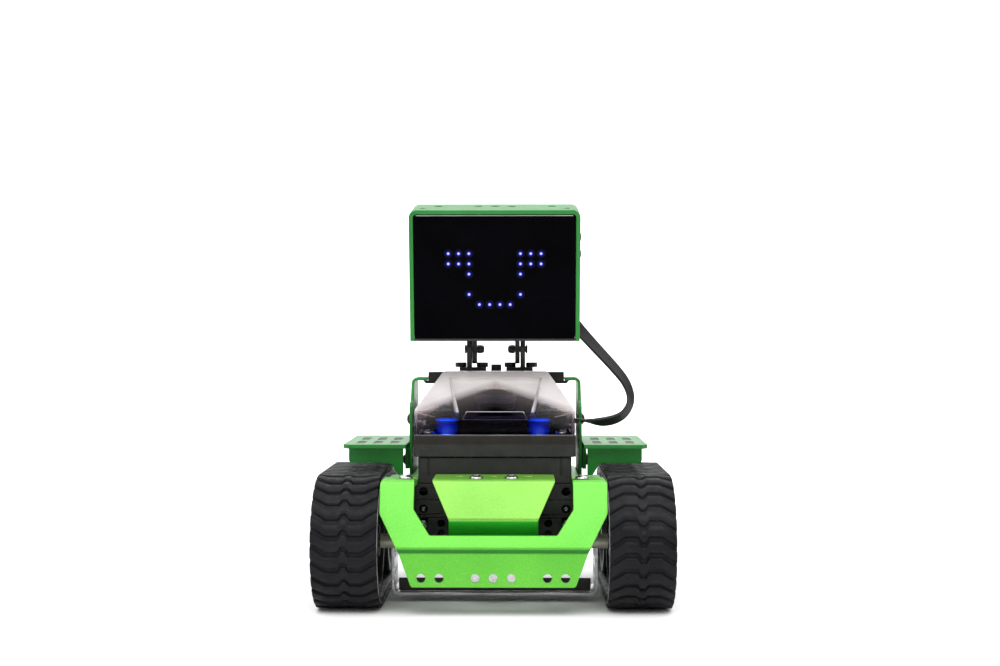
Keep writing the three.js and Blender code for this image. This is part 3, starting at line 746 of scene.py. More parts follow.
def front_bumper():
    lean = band([(-34, 59), (-47.0, 59), (-59.75, 30.4), (-58.4, 28.6), (-58.4, 13.6)], 2, 1.6)
    half = [
        (36.4, 13.6, 1.4), (42.3, 29.6, 4), (51, 45.7, 4), (51, 60.3, 2.4), (35.6, 60.3, 0.5),
        (35.6, 47.2, 1.2),
        (28.3, 36.3, 1.2),
    ]
    face = rounded(mirror_outline(half))
    obj = mesh_object("bumper_plate", prism("x", lean, -52, 52))
    combine(obj, prism("y", face, -64, -30), "INTERSECT")
    holes = [("y", (n * GRID, 17.6), HOLE, -64, -50) for n in (-4, -3, -1, 0, 1, 3, 4)]
    holes += [("z", (x, -41), HOLE, 50, 65) for x in (-40, 40)]
    combine(obj, drills(holes), "DIFFERENCE")
    finish_piece(obj, "chassis", BUMPER_GREEN, ["front_bumper"], edge=0.3)


def front_centre_plate():
    lean = band([(-21.4, 59), (-45.4, 59), (-52.4, 42.6), (-49.4, 35.4)], 2, 1.5)
    face = rounded(mirror_outline([(20, 34), (20, 42.5, 1), (27.6, 58.8, 0.6), (27.6, 62)]))
    obj = mesh_object("centre_plate", prism("x", lean, -30, 30))
    combine(obj, prism("y", face, -60, -20), "INTERSECT")
    holes = [("z", (x, -41), HOLE, 50, 65) for x in (-8, 8)]
    holes += [("z", (x, -31), HOLE, 50, 65) for x in (-16, 0, 16)]
    combine(obj, drills(holes), "DIFFERENCE")
    finish_piece(obj, "chassis", CENTRE_GREEN, ["front_centre_plate"], edge=0.3)


def chassis_plate():
    low, high = span("chassis_top_plate")
    outline = mirror_outline([
        (21, low.y, 1), (21, -14.6, 1), (36, -14.6, 1), (36, low.y, 1), (50, low.y, 2), (50, 2, 1.5),
        (40, 2), (40, high.y, 1.5),
    ])
    obj = mesh_object("deck_plate", prism("z", rounded(outline), high.z - 2, high.z))
    for side in (-1, 1):
        combine(obj, blocks((sorted((side * 38, side * 40)), (4, high.y), (low.z, high.z - 1))), "UNION")
    holes = [("z", (x, -41), HOLE, 50, 60) for x in (-40, -8, 8, 40)]
    holes += [("z", (x, y), HOLE, 50, 60) for x in (-24, 24) for y in (-32, -24, 8, 16, 40)]
    holes += [("x", (y, 48), HOLE, -42, 42) for y in (12, 20, 28, 36, 44)]
    combine(obj, drills(holes), "DIFFERENCE")
    finish_piece(obj, "chassis", GREEN, ["chassis_top_plate"])


def rear_plate():
    low, high = span("rear_plate")
    outline = [(low.x, low.z, 4), (high.x, low.z, 4), (high.x, high.z, 2), (low.x, high.z, 2)]
    holes = [("y", (x, z), HOLE, 49, 54) for x in (-24, -8, 8, 24) for z in (30, 44)]
    slot = [("y", (0, 37), 4.5, 49, 54)]
    solid_piece("back_plate", prism("y", rounded(outline), low.y, high.y), "chassis", GREEN, ["rear_plate"],
                holes + slot)


def side_plate(name, side):
    upright = side * 41.05
    section = band([(upright, 19), (upright, 103.25), (side * 34, 103.25)], 1.5, 2.0)
    outline = [
        (-44, 27, 4), (-10, 20.5, 4), (48, 20, 5), (48, 92, 4), (44, 104.2, 3), (21, 104.2), (12, 92.5, 5),
        (5, 92.5, 3),
        (5, 55.2, 2), (-44, 55.2, 5),
    ]
    obj = mesh_object(f"{name}_flank_plate", prism("y", section, -46, 50))
    combine(obj, prism("x", rounded(outline), *sorted((side * 33, side * 43))), "INTERSECT")
    combine(obj, blocks((sorted((side * 32, side * 40)), (37, 52), (98, 108))), "DIFFERENCE")
    reach = sorted((side * 39, side * 43))
    holes = [("x", (-AXLE_Y, AXLE_Z), 3, *reach), ("x", (AXLE_Y, AXLE_Z), 4.2, *reach)]
    holes += [("x", (y, 44), HOLE, *reach) for y in (-24, -16, -8, 0)]
    holes += [("x", (y, z), HOLE, *reach) for y in (12, 20, 28, 36) for z in (78, 84)]
    holes.append(("z", (side * 37.5, 25), 1.9, 100, 106))
    combine(obj, drills(holes), "DIFFERENCE")
    finish_piece(obj, "chassis", SHADED_GREEN, [f"{name}_side_plate"])


def fender(name, side):
    """Built on the left, and mirrored for the right."""
    top = rounded([(42.1, -10, 0.5), (70, -10, 1), (72.5, -7, 1), (72.5, 51, 1), (70, 54, 1),
                   (42.1, 54, 0.5)])
    obj = mesh_object(f"{name}_mudguard", prism("z", top, 71, 73))
    skirt = rounded([(44, 71.6), (44, 58.2, 0.5), (46.5, 58.2, 1), (50, 64, 3), (70, 64, 1.5), (70, 71.6)])
    combine(obj, prism("y", skirt, -6, -4), "UNION")
    combine(obj, blocks(((42.1, 44), (7, 44), (60, 72))), "UNION")
    combine(obj, drills([("x", (y, 64), HOLE, 41, 46) for y in (14, 22, 30, 38)]), "DIFFERENCE")
    # black sheets under the slots paint the shade seen through them
    slots, slot_shade_sheets = bmesh.new(), bmesh.new()
    for x in (49, 57, 65):
        for near, far in ((-2, 13), (20, 37)):
            add_prism(slots, "z", oblong(x - 2, near, x + 2, far, 2), 70, 74)
            fill = oblong(x - 1.9, near, x + 1.9, far, 2)
            add_prism(slot_shade_sheets, "z", fill, 71.2, 72.75)
    combine(obj, slots, "DIFFERENCE")
    slot_shade_sheet = mesh_object(f"{name}_slot_shade_pads", slot_shade_sheets)
    if side < 0:
        for piece in (obj, slot_shade_sheet):
            piece.data.transform(Matrix.Scale(-1, 4, (1, 0, 0)))
            piece.data.flip_normals()
    finish_piece(obj, "chassis", SHADED_GREEN, [f"{name}_fender"])
    finish_piece(slot_shade_sheet, "chassis", BLACK_PLASTIC, edge=0.1)


def head_frame():
    section = band([(-39, -31), (-39, 30), (39, 30), (39, -31)], 2, 2.6)
    holes = [("z", (x, 4), HOLE, 27, 33) for x in (-27, -8, 0, 8, 27)]
    holes += [("z", (x, -5), 1.4, 27, 33) for x in (-34, 34)]
    holes += [("x", (0, z), 1.8, *reach) for z in (8.8, 16.8) for reach in ((-41, -37), (37, 41))]
    solid_piece("head_hood", prism("y", section, -13.5, 13.5), "head", SHADED_GREEN,
                ["head_frame"], holes, place=HEAD_PLACE, edge=0.3)


front_bumper()
front_centre_plate()
chassis_plate()
rear_plate()
for name, side in LEFT_RIGHT:
    side_plate(name, side)
    fender(name, side)
head_frame()

# ---- belly bracket and line sensor ----


def belly_bracket():
    section = band([(-42.6, 54.5), (-47.7, 54.5), (-47.7, 3.8), (47.7, 3.8), (47.7, 54.5), (42.6, 54.5)],
                   1.6, 3.2)
    obj = mesh_object("belly_strap", prism("y", section, -20, 0))
    window = bmesh.new()
    add_prism(window, "z", oblong(-38, -15.5, 38, -6, 2), 1, 7)
    combine(obj, window, "DIFFERENCE")
    walls = ((-50, -45), (45, 50))
    holes = [("x", (y, z), HOLE, *wall) for y in (-14, -6) for z in (14, 22, 38, 46) for wall in walls]
    holes += [("z", (x, -3), 1.3, 1, 7) for x in (-41, 41)]
    combine(obj, drills(holes), "DIFFERENCE")
    finish_piece(obj, "chassis", SILVER, ["belly_bracket"], edge=0.3)


def line_sensor():
    section = rounded([(-19.5, 5.4, 0.8), (-19.5, 11.2, 0.4), (-17.5, 11.2, 0.4), (-17.5, 9.4),
                       (-4, 7.8, 0.4), (-4, 5.4, 0.8)], 3)
    obj = mesh_object("sensor_housing", prism("x", section, -44.9, 44.9))
    combine(obj, blocks(((-43.5, 43.5), (-16, -5.5), (6.7, 12))), "DIFFERENCE")
    eyes = bmesh.new()
    for n in range(6):
        x = -30 + 12 * n
        add_prism(eyes, "z", oblong(x - 4, -14, x + 4, -8, 1), 4, 7)
    combine(obj, eyes, "DIFFERENCE")
    finish_piece(obj, "chassis", BLACK_PLASTIC, ["line_sensor_housing"])
    bm = bmesh.new()
    for n in range(6):
        for shift in (-1.9, 1.9):
            x = -30 + 12 * n + shift
            dome = [(0, 6.86), (1.45, 6.86), (1.5, 6.2), (1.4, 5.8), (1.0, 5.4), (0.5, 5.2), (0, 5.15)]
            add_turned(bm, "z", (x, -11), dome, 20)
    solid_piece("sensor_eyes", bm, "chassis", PANEL, edge=0)
    repaint("line_sensor_board", BOARD)
    tabs = bmesh.new()
    add_block(tabs, (-13, 13), (-21.2, -19.6), (8.2, 13.8))
    add_block(tabs, (-13, 13), (-20.4, -18.4), (11.3, 13.8))
    solid_piece("sensor_clip", tabs, "chassis", STEEL, edge=0.2)


belly_bracket()
line_sensor()

# ---- tracks ----
LUGS = 43
GROOVE_R = TREAD_R - 1.25
BELT_IN = 25.2
HALF_TURN = math.pi * TREAD_R
LOOP = 2 * (2 * AXLE_Y + HALF_TURN)
PITCH = LOOP / LUGS


def loop_point(along, radius):
    """A point of the belt's loop: distance along the tread's outer path, and radius over a wheel."""
    half = LOOP / 2
    along %= LOOP
    way = 1 if along < half else -1
    rest = along % half
    angle = max(0, rest - 2 * AXLE_Y) / TREAD_R
    y = -AXLE_Y + min(rest, 2 * AXLE_Y) + radius * math.sin(angle)
    return way * y, AXLE_Z - way * radius * math.cos(angle)


def chevron(share):
    """How far a lug shifts along the belt at a share of its width: wings, two flats and a notch."""
    wing = max(0, 0.23 - min(share, 1 - share)) / 0.23
    notch = max(0, 0.085 - abs(share - 0.5)) / 0.085
    return 4.6 * wing + 2.6 * min(1, 1.6 * notch)


def belt_line(bm, x, shift, profile):
    """One closed line round the belt at x, which repeats (step, radius) points for each lug."""
    line = []
    for n in range(LUGS):
        for step, radius in profile:
            y, z = loop_point(n * PITCH + step + shift, radius)
            line.append(bm.verts.new((x, y, z)))
    return line


def belt(name, side):
    """Chevron lugs outside, and a flat with a guide ridge along its middle inside."""
    lug = 0.74 * PITCH
    steps = [0.0, 0.3, 0.7, lug * 0.5, lug - 0.7, lug - 0.25, lug, lug + 0.3, PITCH - 0.3]
    tread = [GROOVE_R, TREAD_R - 0.3, TREAD_R, TREAD_R, TREAD_R - 0.05, TREAD_R - 0.35]
    tread += [GROOVE_R + 0.3, GROOVE_R, GROOVE_R - 0.05]
    shares = [0, 0.012, 0.06, 0.12, 0.18, 0.225, 0.24, 0.30, 0.36, 0.41, 0.425, 0.447, 0.47, 0.5]
    shares += [1 - s for s in reversed(shares[:-1])]
    bm = bmesh.new()

    def line(share, lean, radii):
        x = side * (TRACK_LOW.x + (TRACK_HIGH.x - TRACK_LOW.x) * share)
        return belt_line(bm, x, side * chevron(lean), list(zip(steps, radii)))

    columns = []
    for share in shares:
        droop = 0.8 if share in (0, 1) else 0.0
        columns.append(line(share, share, [radius - droop for radius in tread]))
    rims = [line(share, share, [BELT_IN + 0.5] * len(steps)) for share in (0, 1)]
    ridge = ((0.02, 0), (0.42, 0), (0.44, -2.3), (0.56, -2.3), (0.58, 0), (0.98, 0))
    inside = [line(share, 0, [BELT_IN + height] * len(steps)) for share, height in ridge]
    for lines in (columns, [columns[0], rims[0], *inside, rims[1], columns[-1]]):
        for a, b in zip(lines, lines[1:]):
            bridge(bm, a, b)
    solid_piece(f"{name}_track", bm, "chassis", RUBBER, [f"{name}_track_belt"], edge=0, smooth=42)


for name, side in LEFT_RIGHT:
    belt(name, side)

# ---- wheels, axles and drive ----


def wheel(name, side, y, node, body):
    low, high = span(node)
    x_in, x_out = (low.x, high.x) if side > 0 else (-high.x, -low.x)
    middle = (TRACK_LOW.x + TRACK_HIGH.x) / 2
    rim = 24.4
    profile = [
        (3.4, x_in), (7, x_in), (7.3, x_in + 0.4), (7.6, 59.5), (8.6, 60), (18.6, 60), (19.6, 59.4),
        (20.2, x_in + 0.5), (20.6, x_in),
        (rim - 0.4, x_in), (rim, x_in + 0.4), (rim, middle - 3), (21.8, middle - 2.6), (21.6, middle - 2.3),
        (21.6, middle + 2.3), (21.8, middle + 2.6), (rim, middle + 3), (rim, x_out - 0.4),
        (rim - 0.4, x_out), (20.6, x_out),
        (20.2, x_out - 0.5), (19.6, 70.6), (18.6, 70), (8.6, 70), (7.6, 70.5), (7.3, 73.6), (7, 74),
        (3.4, 74),
    ]
    obj = mesh_object(f"{name}_wheel_hub", turned("x", (y, AXLE_Z), profile, 64, side=side))
    holes = []
    for n in range(5):
        angle = 2 * math.pi * n / 5
        centre = (y + 13.5 * math.cos(angle), AXLE_Z + 13.5 * math.sin(angle))
        holes.append(("x", centre, 4, *sorted((side * 57, side * 73))))
    combine(obj, drills(holes), "DIFFERENCE")
    finish_piece(obj, body, BLACK_PLASTIC, [node], edge=0, smooth=35)


def front_axle(name, side):
    at = (-AXLE_Y, AXLE_Z)
    bar = [(0, 34), (2.0, 34), (2.4, 34.4), (2.4, 74.4), (3.7, 74.4), (4, 74.7), (4, 76.4), (3.5, 77),
           (2.2, 77), (2.0, 75.6), (0, 75.6)]
    solid_piece(f"{name}_axle_bolt", turned("x", at, bar, 32, side=side), "chassis", STEEL,
                [f"{name}_front_axle"], edge=0)
    tube = [(2.8, 42.1), (3.1, 42.1), (3.35, 42.35), (3.35, 52.05), (3.1, 52.3), (2.8, 52.3)]
    solid_piece(f"{name}_spacer_tube", turned("x", at, tube, 32, side=side), "chassis", NYLON,
                [f"{name}_axle_spacer"], edge=0)
    nut = mesh_object(f"{name}_axle_locknut", prism("x", circle(at, 4.2, 6), side * 36.6, side * 39.9))
    combine(nut, drills([("x", at, 2.7, *sorted((side * 35, side * 41)))]), "DIFFERENCE")
    finish_piece(nut, "chassis", STEEL)


def drive(name, side):
    low, high = span(f"{name}_gearbox")
    outline = rounded([(low.y, low.z, 3), (high.y, low.z, 6), (high.y, high.z, 6), (low.y, high.z, 3)])
    halves = ((17, 27.2), (27.6, 37.7))
    bm = bmesh.new()
    for a, b in halves:
        add_prism(bm, "x", outline, side * a, side * b)
    obj = mesh_object(f"{name}_gear_case", bm)
    combine(obj, drills([("x", (AXLE_Y, AXLE_Z), 3.4, *sorted((side * 28, side * 39)))]), "DIFFERENCE")
    finish_piece(obj, "chassis", CASE_PLASTIC, [f"{name}_gearbox"], edge=0.4)
    can = [(0, -7), (3, -7), (3, -6.4), (8.2, -6.2), (9, -5.4), (9, 14), (8.6, 14.4), (8.6, 15.2),
           (9, 15.6), (9, 19.6), (8.6, 20.2), (0, 20.2)]
    solid_piece(f"{name}_motor_can", turned("y", (side * 27, AXLE_Z), can, 40), "chassis", SILVER,
                [f"{name}_motor"], edge=0)
    shaft = [(0, 29), (2.6, 29), (2.9, 29.3), (2.9, 72.6), (2.6, 73), (0, 73)]
    body = f"{name}_rear_wheel_body"
    solid_piece(f"{name}_output_shaft", turned("x", (AXLE_Y, AXLE_Z), shaft, 32, side=side), body, STEEL,
                [f"{name}_drive_shaft"], edge=0)
    button_screws(f"{name}_hub_bolt", body, STEEL, [("x", (AXLE_Y, AXLE_Z), side * 74.1, side)], 4.4, 2.4)


for name, side in LEFT_RIGHT:
    for place, y in (("front", -AXLE_Y), ("rear", AXLE_Y)):
        wheel(f"{name}_{place}", side, y, f"{name}_{place}_wheel", f"{name}_{place}_wheel_body")
    front_axle(name, side)
    drive(name, side)

def belt_rim_highlight(name, side):
    """A pale ring that paints the highlight along a belt's inner side."""
    reach = [n * LOOP / 200 for n in range(200)]
    obj = mesh_object(f"{name}_belt_rim_highlight", prism("x", [loop_point(a, TREAD_R - 2.0) for a in reach],
                                                side * 51.2, side * 51.7))
    combine(obj, prism("x", [loop_point(a, TREAD_R - 2.45) for a in reach], side * 50, side * 53),
            "DIFFERENCE")
    finish_piece(obj, "chassis", RIM_HIGHLIGHT, edge=0)


def motor_cap(name, side):
    cap = [(0, -7.4), (1.6, -7.4), (1.6, -7.2), (8.3, -7.2), (9.3, -6.6), (9.3, -3.0), (9.1, -2.6), (0, -2.6)]
    solid_piece(f"{name}_motor_cap", turned("y", (side * 27, AXLE_Z), cap, 32), "chassis", BLACK_PLASTIC,
                edge=0)


for name, side in LEFT_RIGHT:
    belt_rim_highlight(name, side)
    motor_cap(name, side)


# ---- black beams and screws ----


def beam(name, side, node, z_hole):
    low, high = span(node)
    bottom = max(low.z, 40.8) if "middle" in node else low.z
    section = oblong(low.x, bottom, high.x, high.z, 0.6, 3)
    holes = [("y", (side * 33.4, z_hole), 2.05, -22, -8)]
    holes += [("x", (y, z_hole), 1.9, *sorted((side * 20, side * 40))) for y in (-12, -4, 4, 12, 20, 28, 36)]
    obj = mesh_object(name, prism("y", section, low.y, high.y))
    if "middle" in node:
        combine(obj, blocks(((low.x, high.x), (low.y, 18), (low.z, bottom + 1))), "UNION")
    combine(obj, drills(holes), "DIFFERENCE")
    finish_piece(obj, "chassis", BLACK_METAL, [node], edge=0.25)


for name, side in LEFT_RIGHT:
    beam(f"{name}_rail_top", side, f"{name}_upper_beam", 51.7)
    beam(f"{name}_rail_middle", side, f"{name}_middle_beam", 43.6)
    foot = oblong(side * 19, 29, side * 31.4, 39.3, 0.6, 3)
    holes = [("y", (side * 25, z), 1.8, -22, -9) for z in (32, 37)]
    solid_piece(f"{name}_rail_foot", prism("y", foot, -20, -10.5), "chassis", BLACK_METAL,
                holes=holes, edge=0.25)

button_screws("deck_screws", "chassis", STEEL,
              [("z", (x, -41), 60.0, 1) for x in (-40, -8, 8, 40)], 3.2, 1.6)
button_screws("rail_screws", "chassis", STEEL,
              [("y", (x, 43.6), -17.6, -1) for x in (-33.4, 33.4)], 1.85, 1.2)
bolts = bmesh.new()
for x in (-33.7, 33.7):
    add_prism(bolts, "y", circle((x, 36), 2.3, 6), -19.6, -17.4)
    add_turned(bolts, "y", (x, 36), [(0, -21.4), (0.9, -21.4), (1.2, -21.1), (1.2, -10), (0, -10)], 16)
solid_piece("front_bolts", bolts, "chassis", STEEL, edge=0.15)
flank = []
for name, side in LEFT_RIGHT:
    flank += [("x", (y, 44), side * 41.85, side) for y in (-16, 0)]
    flank += [("x", (y, 84), side * 41.85, side) for y in (12, 36)]
button_screws("flank_screws", "chassis", BLACK_METAL, flank, 2.7, 1.6)
button_screws("fender_screws", "chassis", BLACK_METAL,
              [("x", (y, 64), side * 44.05, side) for y in (14, 38) for _, side in LEFT_RIGHT], 2.7, 1.6)
button_screws("rear_screws", "chassis", BLACK_METAL,
              [("y", (x, 44), 52.3, 1) for x in (-24, 24)], 2.9, 1.6)

# ---- controller ----


def controller_case():
    low, high = span("controller_lower_case")
    outline = oblong(low.x, low.y, high.x, high.y, 2.5)
    obj = mesh_object("case_foot", prism("z", outline, 58, high.z))
    grooves = bmesh.new()
    for x in (-31, 31):
        add_block(grooves, (x - 0.35, x + 0.35), (low.y - 1, low.y + 0.4), (low.z - 1, high.z + 1))
        add_block(grooves, (x - 0.35, x + 0.35), (high.y - 0.4, high.y + 1), (low.z - 1, high.z + 1))
    combine(obj, grooves, "DIFFERENCE")
    combine(obj, blocks(((low.x + 2, high.x - 2), (low.y + 2, high.y - 2), (low.z + 1.5, high.z + 1))),
            "DIFFERENCE")
    feet = bmesh.new()
    for side in (-1, 1):
        add_block(feet, sorted((side * 21.5, side * 35.6)), (low.y, -14.9), (low.z, 59))
    combine(obj, feet, "UNION")
    finish_piece(obj, "chassis", BLACK_PLASTIC, ["controller_lower_case"], edge=0.3)
    low, high = span("controller_upper_case")
    outline = oblong(low.x, low.y, high.x, high.y, 3)
    obj = mesh_object("case_tray", prism("z", outline, low.z, high.z))
    room = bmesh.new()
    add_block(room, (low.x + 2, high.x - 2), (low.y + 2, high.y - 2), (low.z + 1.5, high.z + 1))
    add_block(room, (-4.6, 4.6), (52, 56), (71.4, 75.2))
    combine(obj, room, "DIFFERENCE")
    combine(obj, drills([("y", (20, 73.3), 2.4, 52, 56)]), "DIFFERENCE")
    finish_piece(obj, "chassis", TRAY_PLASTIC, ["controller_upper_case"], edge=0.5)
    bm = bmesh.new()
    for n in (1, 2):
        low, high = span(f"battery_cell_{n}")
        x = (low.x + high.x) / 2
        cell = [(0, -15), (1.4, -15), (1.4, -14.4), (3.5, -14.2), (3.9, -13.8), (3.9, -11.5), (3.7, -11.2),
                (3.9, -10.9), (3.9, 48.6), (3.5, 49), (0, 49)]
        add_turned(bm, "y", (x, 64), cell, 32)
    solid_piece("battery_pair", bm, "chassis", CELL, ["battery_cell_1", "battery_cell_2"], edge=0)


def switches():
    low, high = span("power_switch")
    bm = prism("y", oblong(low.x, low.z, high.x, high.z, 0.4, 3), low.y, high.y)
    obj = mesh_object("switch_lever", bm)
    notches = bmesh.new()
    for x in (-1.1, 0, 1.1):
        add_block(notches, (x - 0.2, x + 0.2), (high.y - 0.35, high.y + 1), (low.z - 1, high.z + 1))
    combine(obj, notches, "DIFFERENCE")
    finish_piece(obj, "switch_body", CASE_PLASTIC, ["power_switch"], edge=0.12)
    low, high = span("reset_button")
    cap = [(0, low.y), (1.9, low.y), (1.9, high.y - 0.5), (1.6, high.y - 0.12), (1.1, high.y), (0, high.y)]
    solid_piece("reset_cap", turned("y", (20, 73.3), cap), "reset_body", CASE_PLASTIC, ["reset_button"],
                edge=0)


COVER_CORNERS = [(x, y) for x in (-31.5, 31.5) for y in (-15.2, 47.5)]
COVER_HALF = 37.6
SHOULDER_Z = 90
DOME_HALF = 25
DOME_TOP = 107.6
COVER_WALL = 1.3


def cover_form(name, inset, floor):
    """The dome as one solid, set in by the given amount, with the front recess above the ledge."""
    low, high = span("controller_cover")
    slip = inset * 0.4
    near, far = low.y + inset, high.y - inset
    side = [
        (near, floor), (near, SHOULDER_Z - slip), (2 + slip, DOME_TOP - inset), (11 - slip, DOME_TOP - inset),
        (20.4 - slip, 98 - inset), (far, 88 - inset), (far, floor),
    ]
    front = mirror_outline([
        (COVER_HALF - inset, floor - 1), (COVER_HALF - inset, SHOULDER_Z - slip),
        (DOME_HALF - slip, DOME_TOP - inset + 0.01),
    ])
    obj = mesh_object(name, prism("x", rounded([(*q, 2.5) for q in side]), -COVER_HALF - 1, COVER_HALF + 1))
    combine(obj, prism("y", rounded([(*q, 2.5) for q in front]), -30, 60), "INTERSECT")
    ledge = rounded([
        (low.y - 2, 84.9 - inset), (low.y, 85.7 - inset), (-12.5 + slip, 89.3 - inset),
        (0.6 + slip, DOME_TOP - 3.2, 2),
        (-12, DOME_TOP),
    ])
    opening = rounded(mirror_outline([
        (14 + inset, 80), (18.4 + inset, 87, 2), (22.6 + inset, DOME_TOP - 2), (22.6 + inset, DOME_TOP + 2),
    ]))
    recess = mesh_object("recess", prism("x", ledge, -30, 30))
    combine(recess, prism("y", opening, -40, 30), "INTERSECT")
    combine(obj, recess, "DIFFERENCE")
    return obj


def add_strut(bm, start, end, radius, sides=10):
    """A straight round bar between two points."""
    a, b = Vector(start), Vector(end)
    run = (b - a).normalized()
    across = run.orthogonal().normalized()
    out = run.cross(across)
    turns = [math.tau * n / sides for n in range(sides)]
    spokes = [(across * math.cos(t) + out * math.sin(t)) * radius for t in turns]
    rings = [[bm.verts.new(centre + spoke) for spoke in spokes] for centre in (a, b)]
    bridge(bm, *rings)
    bm.faces.new(rings[0][::-1])
    bm.faces.new(rings[1])


def cover_bend_highlights():
    """Pale bars that paint the highlights where the recess, its ledge and the shoulders bend."""
    bm = bmesh.new()
    for side in (-1, 1):
        add_strut(bm, (side * 17.6, -14.0, 87.2), (side * 22.3, -1.2, 103.6), 1.0)
        add_strut(bm, (side * 15.2, -19.3, 85.4), (side * 13.4, -13.4, 88.6), 0.34)
        add_strut(bm, (side * 36.6, -19.0, 88.6), (side * 28, -19.3, 86.6), 0.34)
        add_strut(bm, (side * 36.6, -19.0, 79.4), (side * 36.6, -19.0, 88.6), 0.22)
        add_strut(bm, (side * 36.3, -18.6, 90.2), (side * 25.0, 1.4, 106.2), 0.3)
    add_strut(bm, (-15.2, -19.3, 85.4), (15.2, -19.3, 85.4), 0.2)
    add_strut(bm, (-13.4, -13.4, 88.6), (13.4, -13.4, 88.6), 0.36)
    solid_piece("cover_bend_highlights", bm, "chassis", BEND_HIGHLIGHT, edge=0)


def controller_cover():
    cover_bend_highlights()
    obj = cover_form("smoke_cover", 0, 78)
    combine(obj, cover_form("cover_room", COVER_WALL, 76), "DIFFERENCE")
    combine(obj, blocks(((34, 39), (-5.8, -0.2), (82.6, 85.4))), "DIFFERENCE")
    pockets = bmesh.new()
    for x in (-31.5, 31.5):
        for near, far in ((-23, -11.3), (43.6, 57)):
            corners = [(x - 4, near, 1), (x + 4, near, 1), (x + 4, far, 3), (x - 4, far, 3)]
            add_prism(pockets, "z", rounded(corners), 77, 80.9)
    combine(obj, pockets, "DIFFERENCE")
    finish_piece(obj, "chassis", SMOKE, ["controller_cover"], edge=0, smooth=30)
    rim = oblong(-37.2, -19.8, 37.2, 53.8, 2)
    hollow = oblong(-36, -18.4, 36, 52.4, 1)
    gasket = mesh_object("cover_rim", prism("z", rim, 78.02, 78.3))
    combine(gasket, prism("z", hollow, 77, 79), "DIFFERENCE")
    finish_piece(gasket, "chassis", SILVER, edge=0)


DECK = span("controller_board")[1].z
MODULE_TOP = 88.2


def main_board():
    low, high = span("controller_board")
    edge = oblong(low.x, low.y, high.x, high.y, 1)
    notches = [("z", corner, 4.0, low.z - 1, DECK + 1) for corner in COVER_CORNERS]
    lamps = [(LAMP_SHIFT + side * LAMP_REACH, -12.4) for _, side in LEFT_RIGHT]
    notches += [("z", lamp, 6.6, low.z - 1, DECK + 1) for lamp in lamps]
    solid_piece("main_board", prism("z", edge, low.z, DECK), "chassis", BOARD, ["controller_board"],
                holes=notches, edge=0.1)
    repaint("processor_module", BOARD)


def pin_header():
    low, high = span("port_row")
    header = oblong(low.x, low.y, high.x, high.y, 0.4, 3)
    obj = mesh_object("pin_header", prism("z", header, low.z, high.z))
    sockets = [("z", (-11.4 + 1.9 * n, -12.75), 0.5, high.z - 0.8, high.z + 1) for n in range(13)]
    combine(obj, drills(sockets), "DIFFERENCE")
    finish_piece(obj, "chassis", CASE_PLASTIC, ["port_row"], edge=0.2)
    pins = bmesh.new()
    for n in range(15):
        x = -9.8 + 1.4 * n
        add_block(pins, (x - 0.3, x + 0.3), (-15.6, -15.0), (high.z - 1, 84.5))
        add_block(pins, (x - 0.3, x + 0.3), (-10.2, -9.6), (high.z - 1, 88.2))
        add_block(pins, (x - 0.3, x + 0.3), (-8.0, -7.4), (DECK, 89.6))
    solid_piece("header_pins", pins, "chassis", STEEL, edge=0.08)


def status_lamp(name, side):
    low, high = span(f"{name}_status_lamp")
    centre = (LAMP_SHIFT + side * LAMP_REACH, (low.y + high.y) / 2)
    top = high.z
    lens = [
        (0, 78.5), (4.4, 78.5), (5.0, 79.4), (5.4, 81), (5.4, top - 1.2), (5.1, top - 0.4), (4.4, top),
        (3.9, top - 0.3), (0, top - 0.6),
    ]
    solid_piece(f"{name}_lamp_lens", turned("z", centre, lens, 40), "chassis", LAMP,
                [f"{name}_status_lamp"], edge=0)
    well = [(5.7, 78.6), (6.2, 78.6), (6.2, 84.3), (6.0, 84.6), (5.7, 84.6)]
    solid_piece(f"{name}_lamp_well", turned("z", centre, well, 40), "chassis", SMOKE, edge=0)


def relays_and_ports():
    relays = blocks(*[((x, x + 10.5), (-3, 5), (DECK, 98.5)) for x in (-20.5, 10)])
    solid_piece("amber_relays", relays, "chassis", AMBER, edge=0.4)
    ports = bmesh.new()
    for x, y in ((-33, 14), (-33, 30), (21.5, 14), (21.5, 30)):
        add_block(ports, (x, x + 11.5), (y, y + 13), (DECK, 86.2))
    add_block(ports, (-33, -21.5), (-2, 5), (DECK, 86.2))
    add_block(ports, (-9, 9), (40, 50), (DECK, DECK + 5.5))
    obj = mesh_object("side_ports", ports)
    mouths = bmesh.new()
    for y in (14, 30):
        add_block(mouths, (-34, -25), (y + 2, y + 11), (DECK + 1, 85.2))
        add_block(mouths, (25, 34), (y + 2, y + 11), (DECK + 1, 85.2))
    add_block(mouths, (-34, -25), (-0.6, 3.6), (DECK + 1, 85.2))
    combine(obj, mouths, "DIFFERENCE")
    finish_piece(obj, "chassis", BLACK_PLASTIC, edge=0.3)


def add_chips(bm, floor, rows):
    """Flat parts on a board: (x, y, width, depth, height)."""
    for x, y, w, d, h in rows:
        add_block(bm, (x - w / 2, x + w / 2), (y - d / 2, y + d / 2), (floor, floor + h))


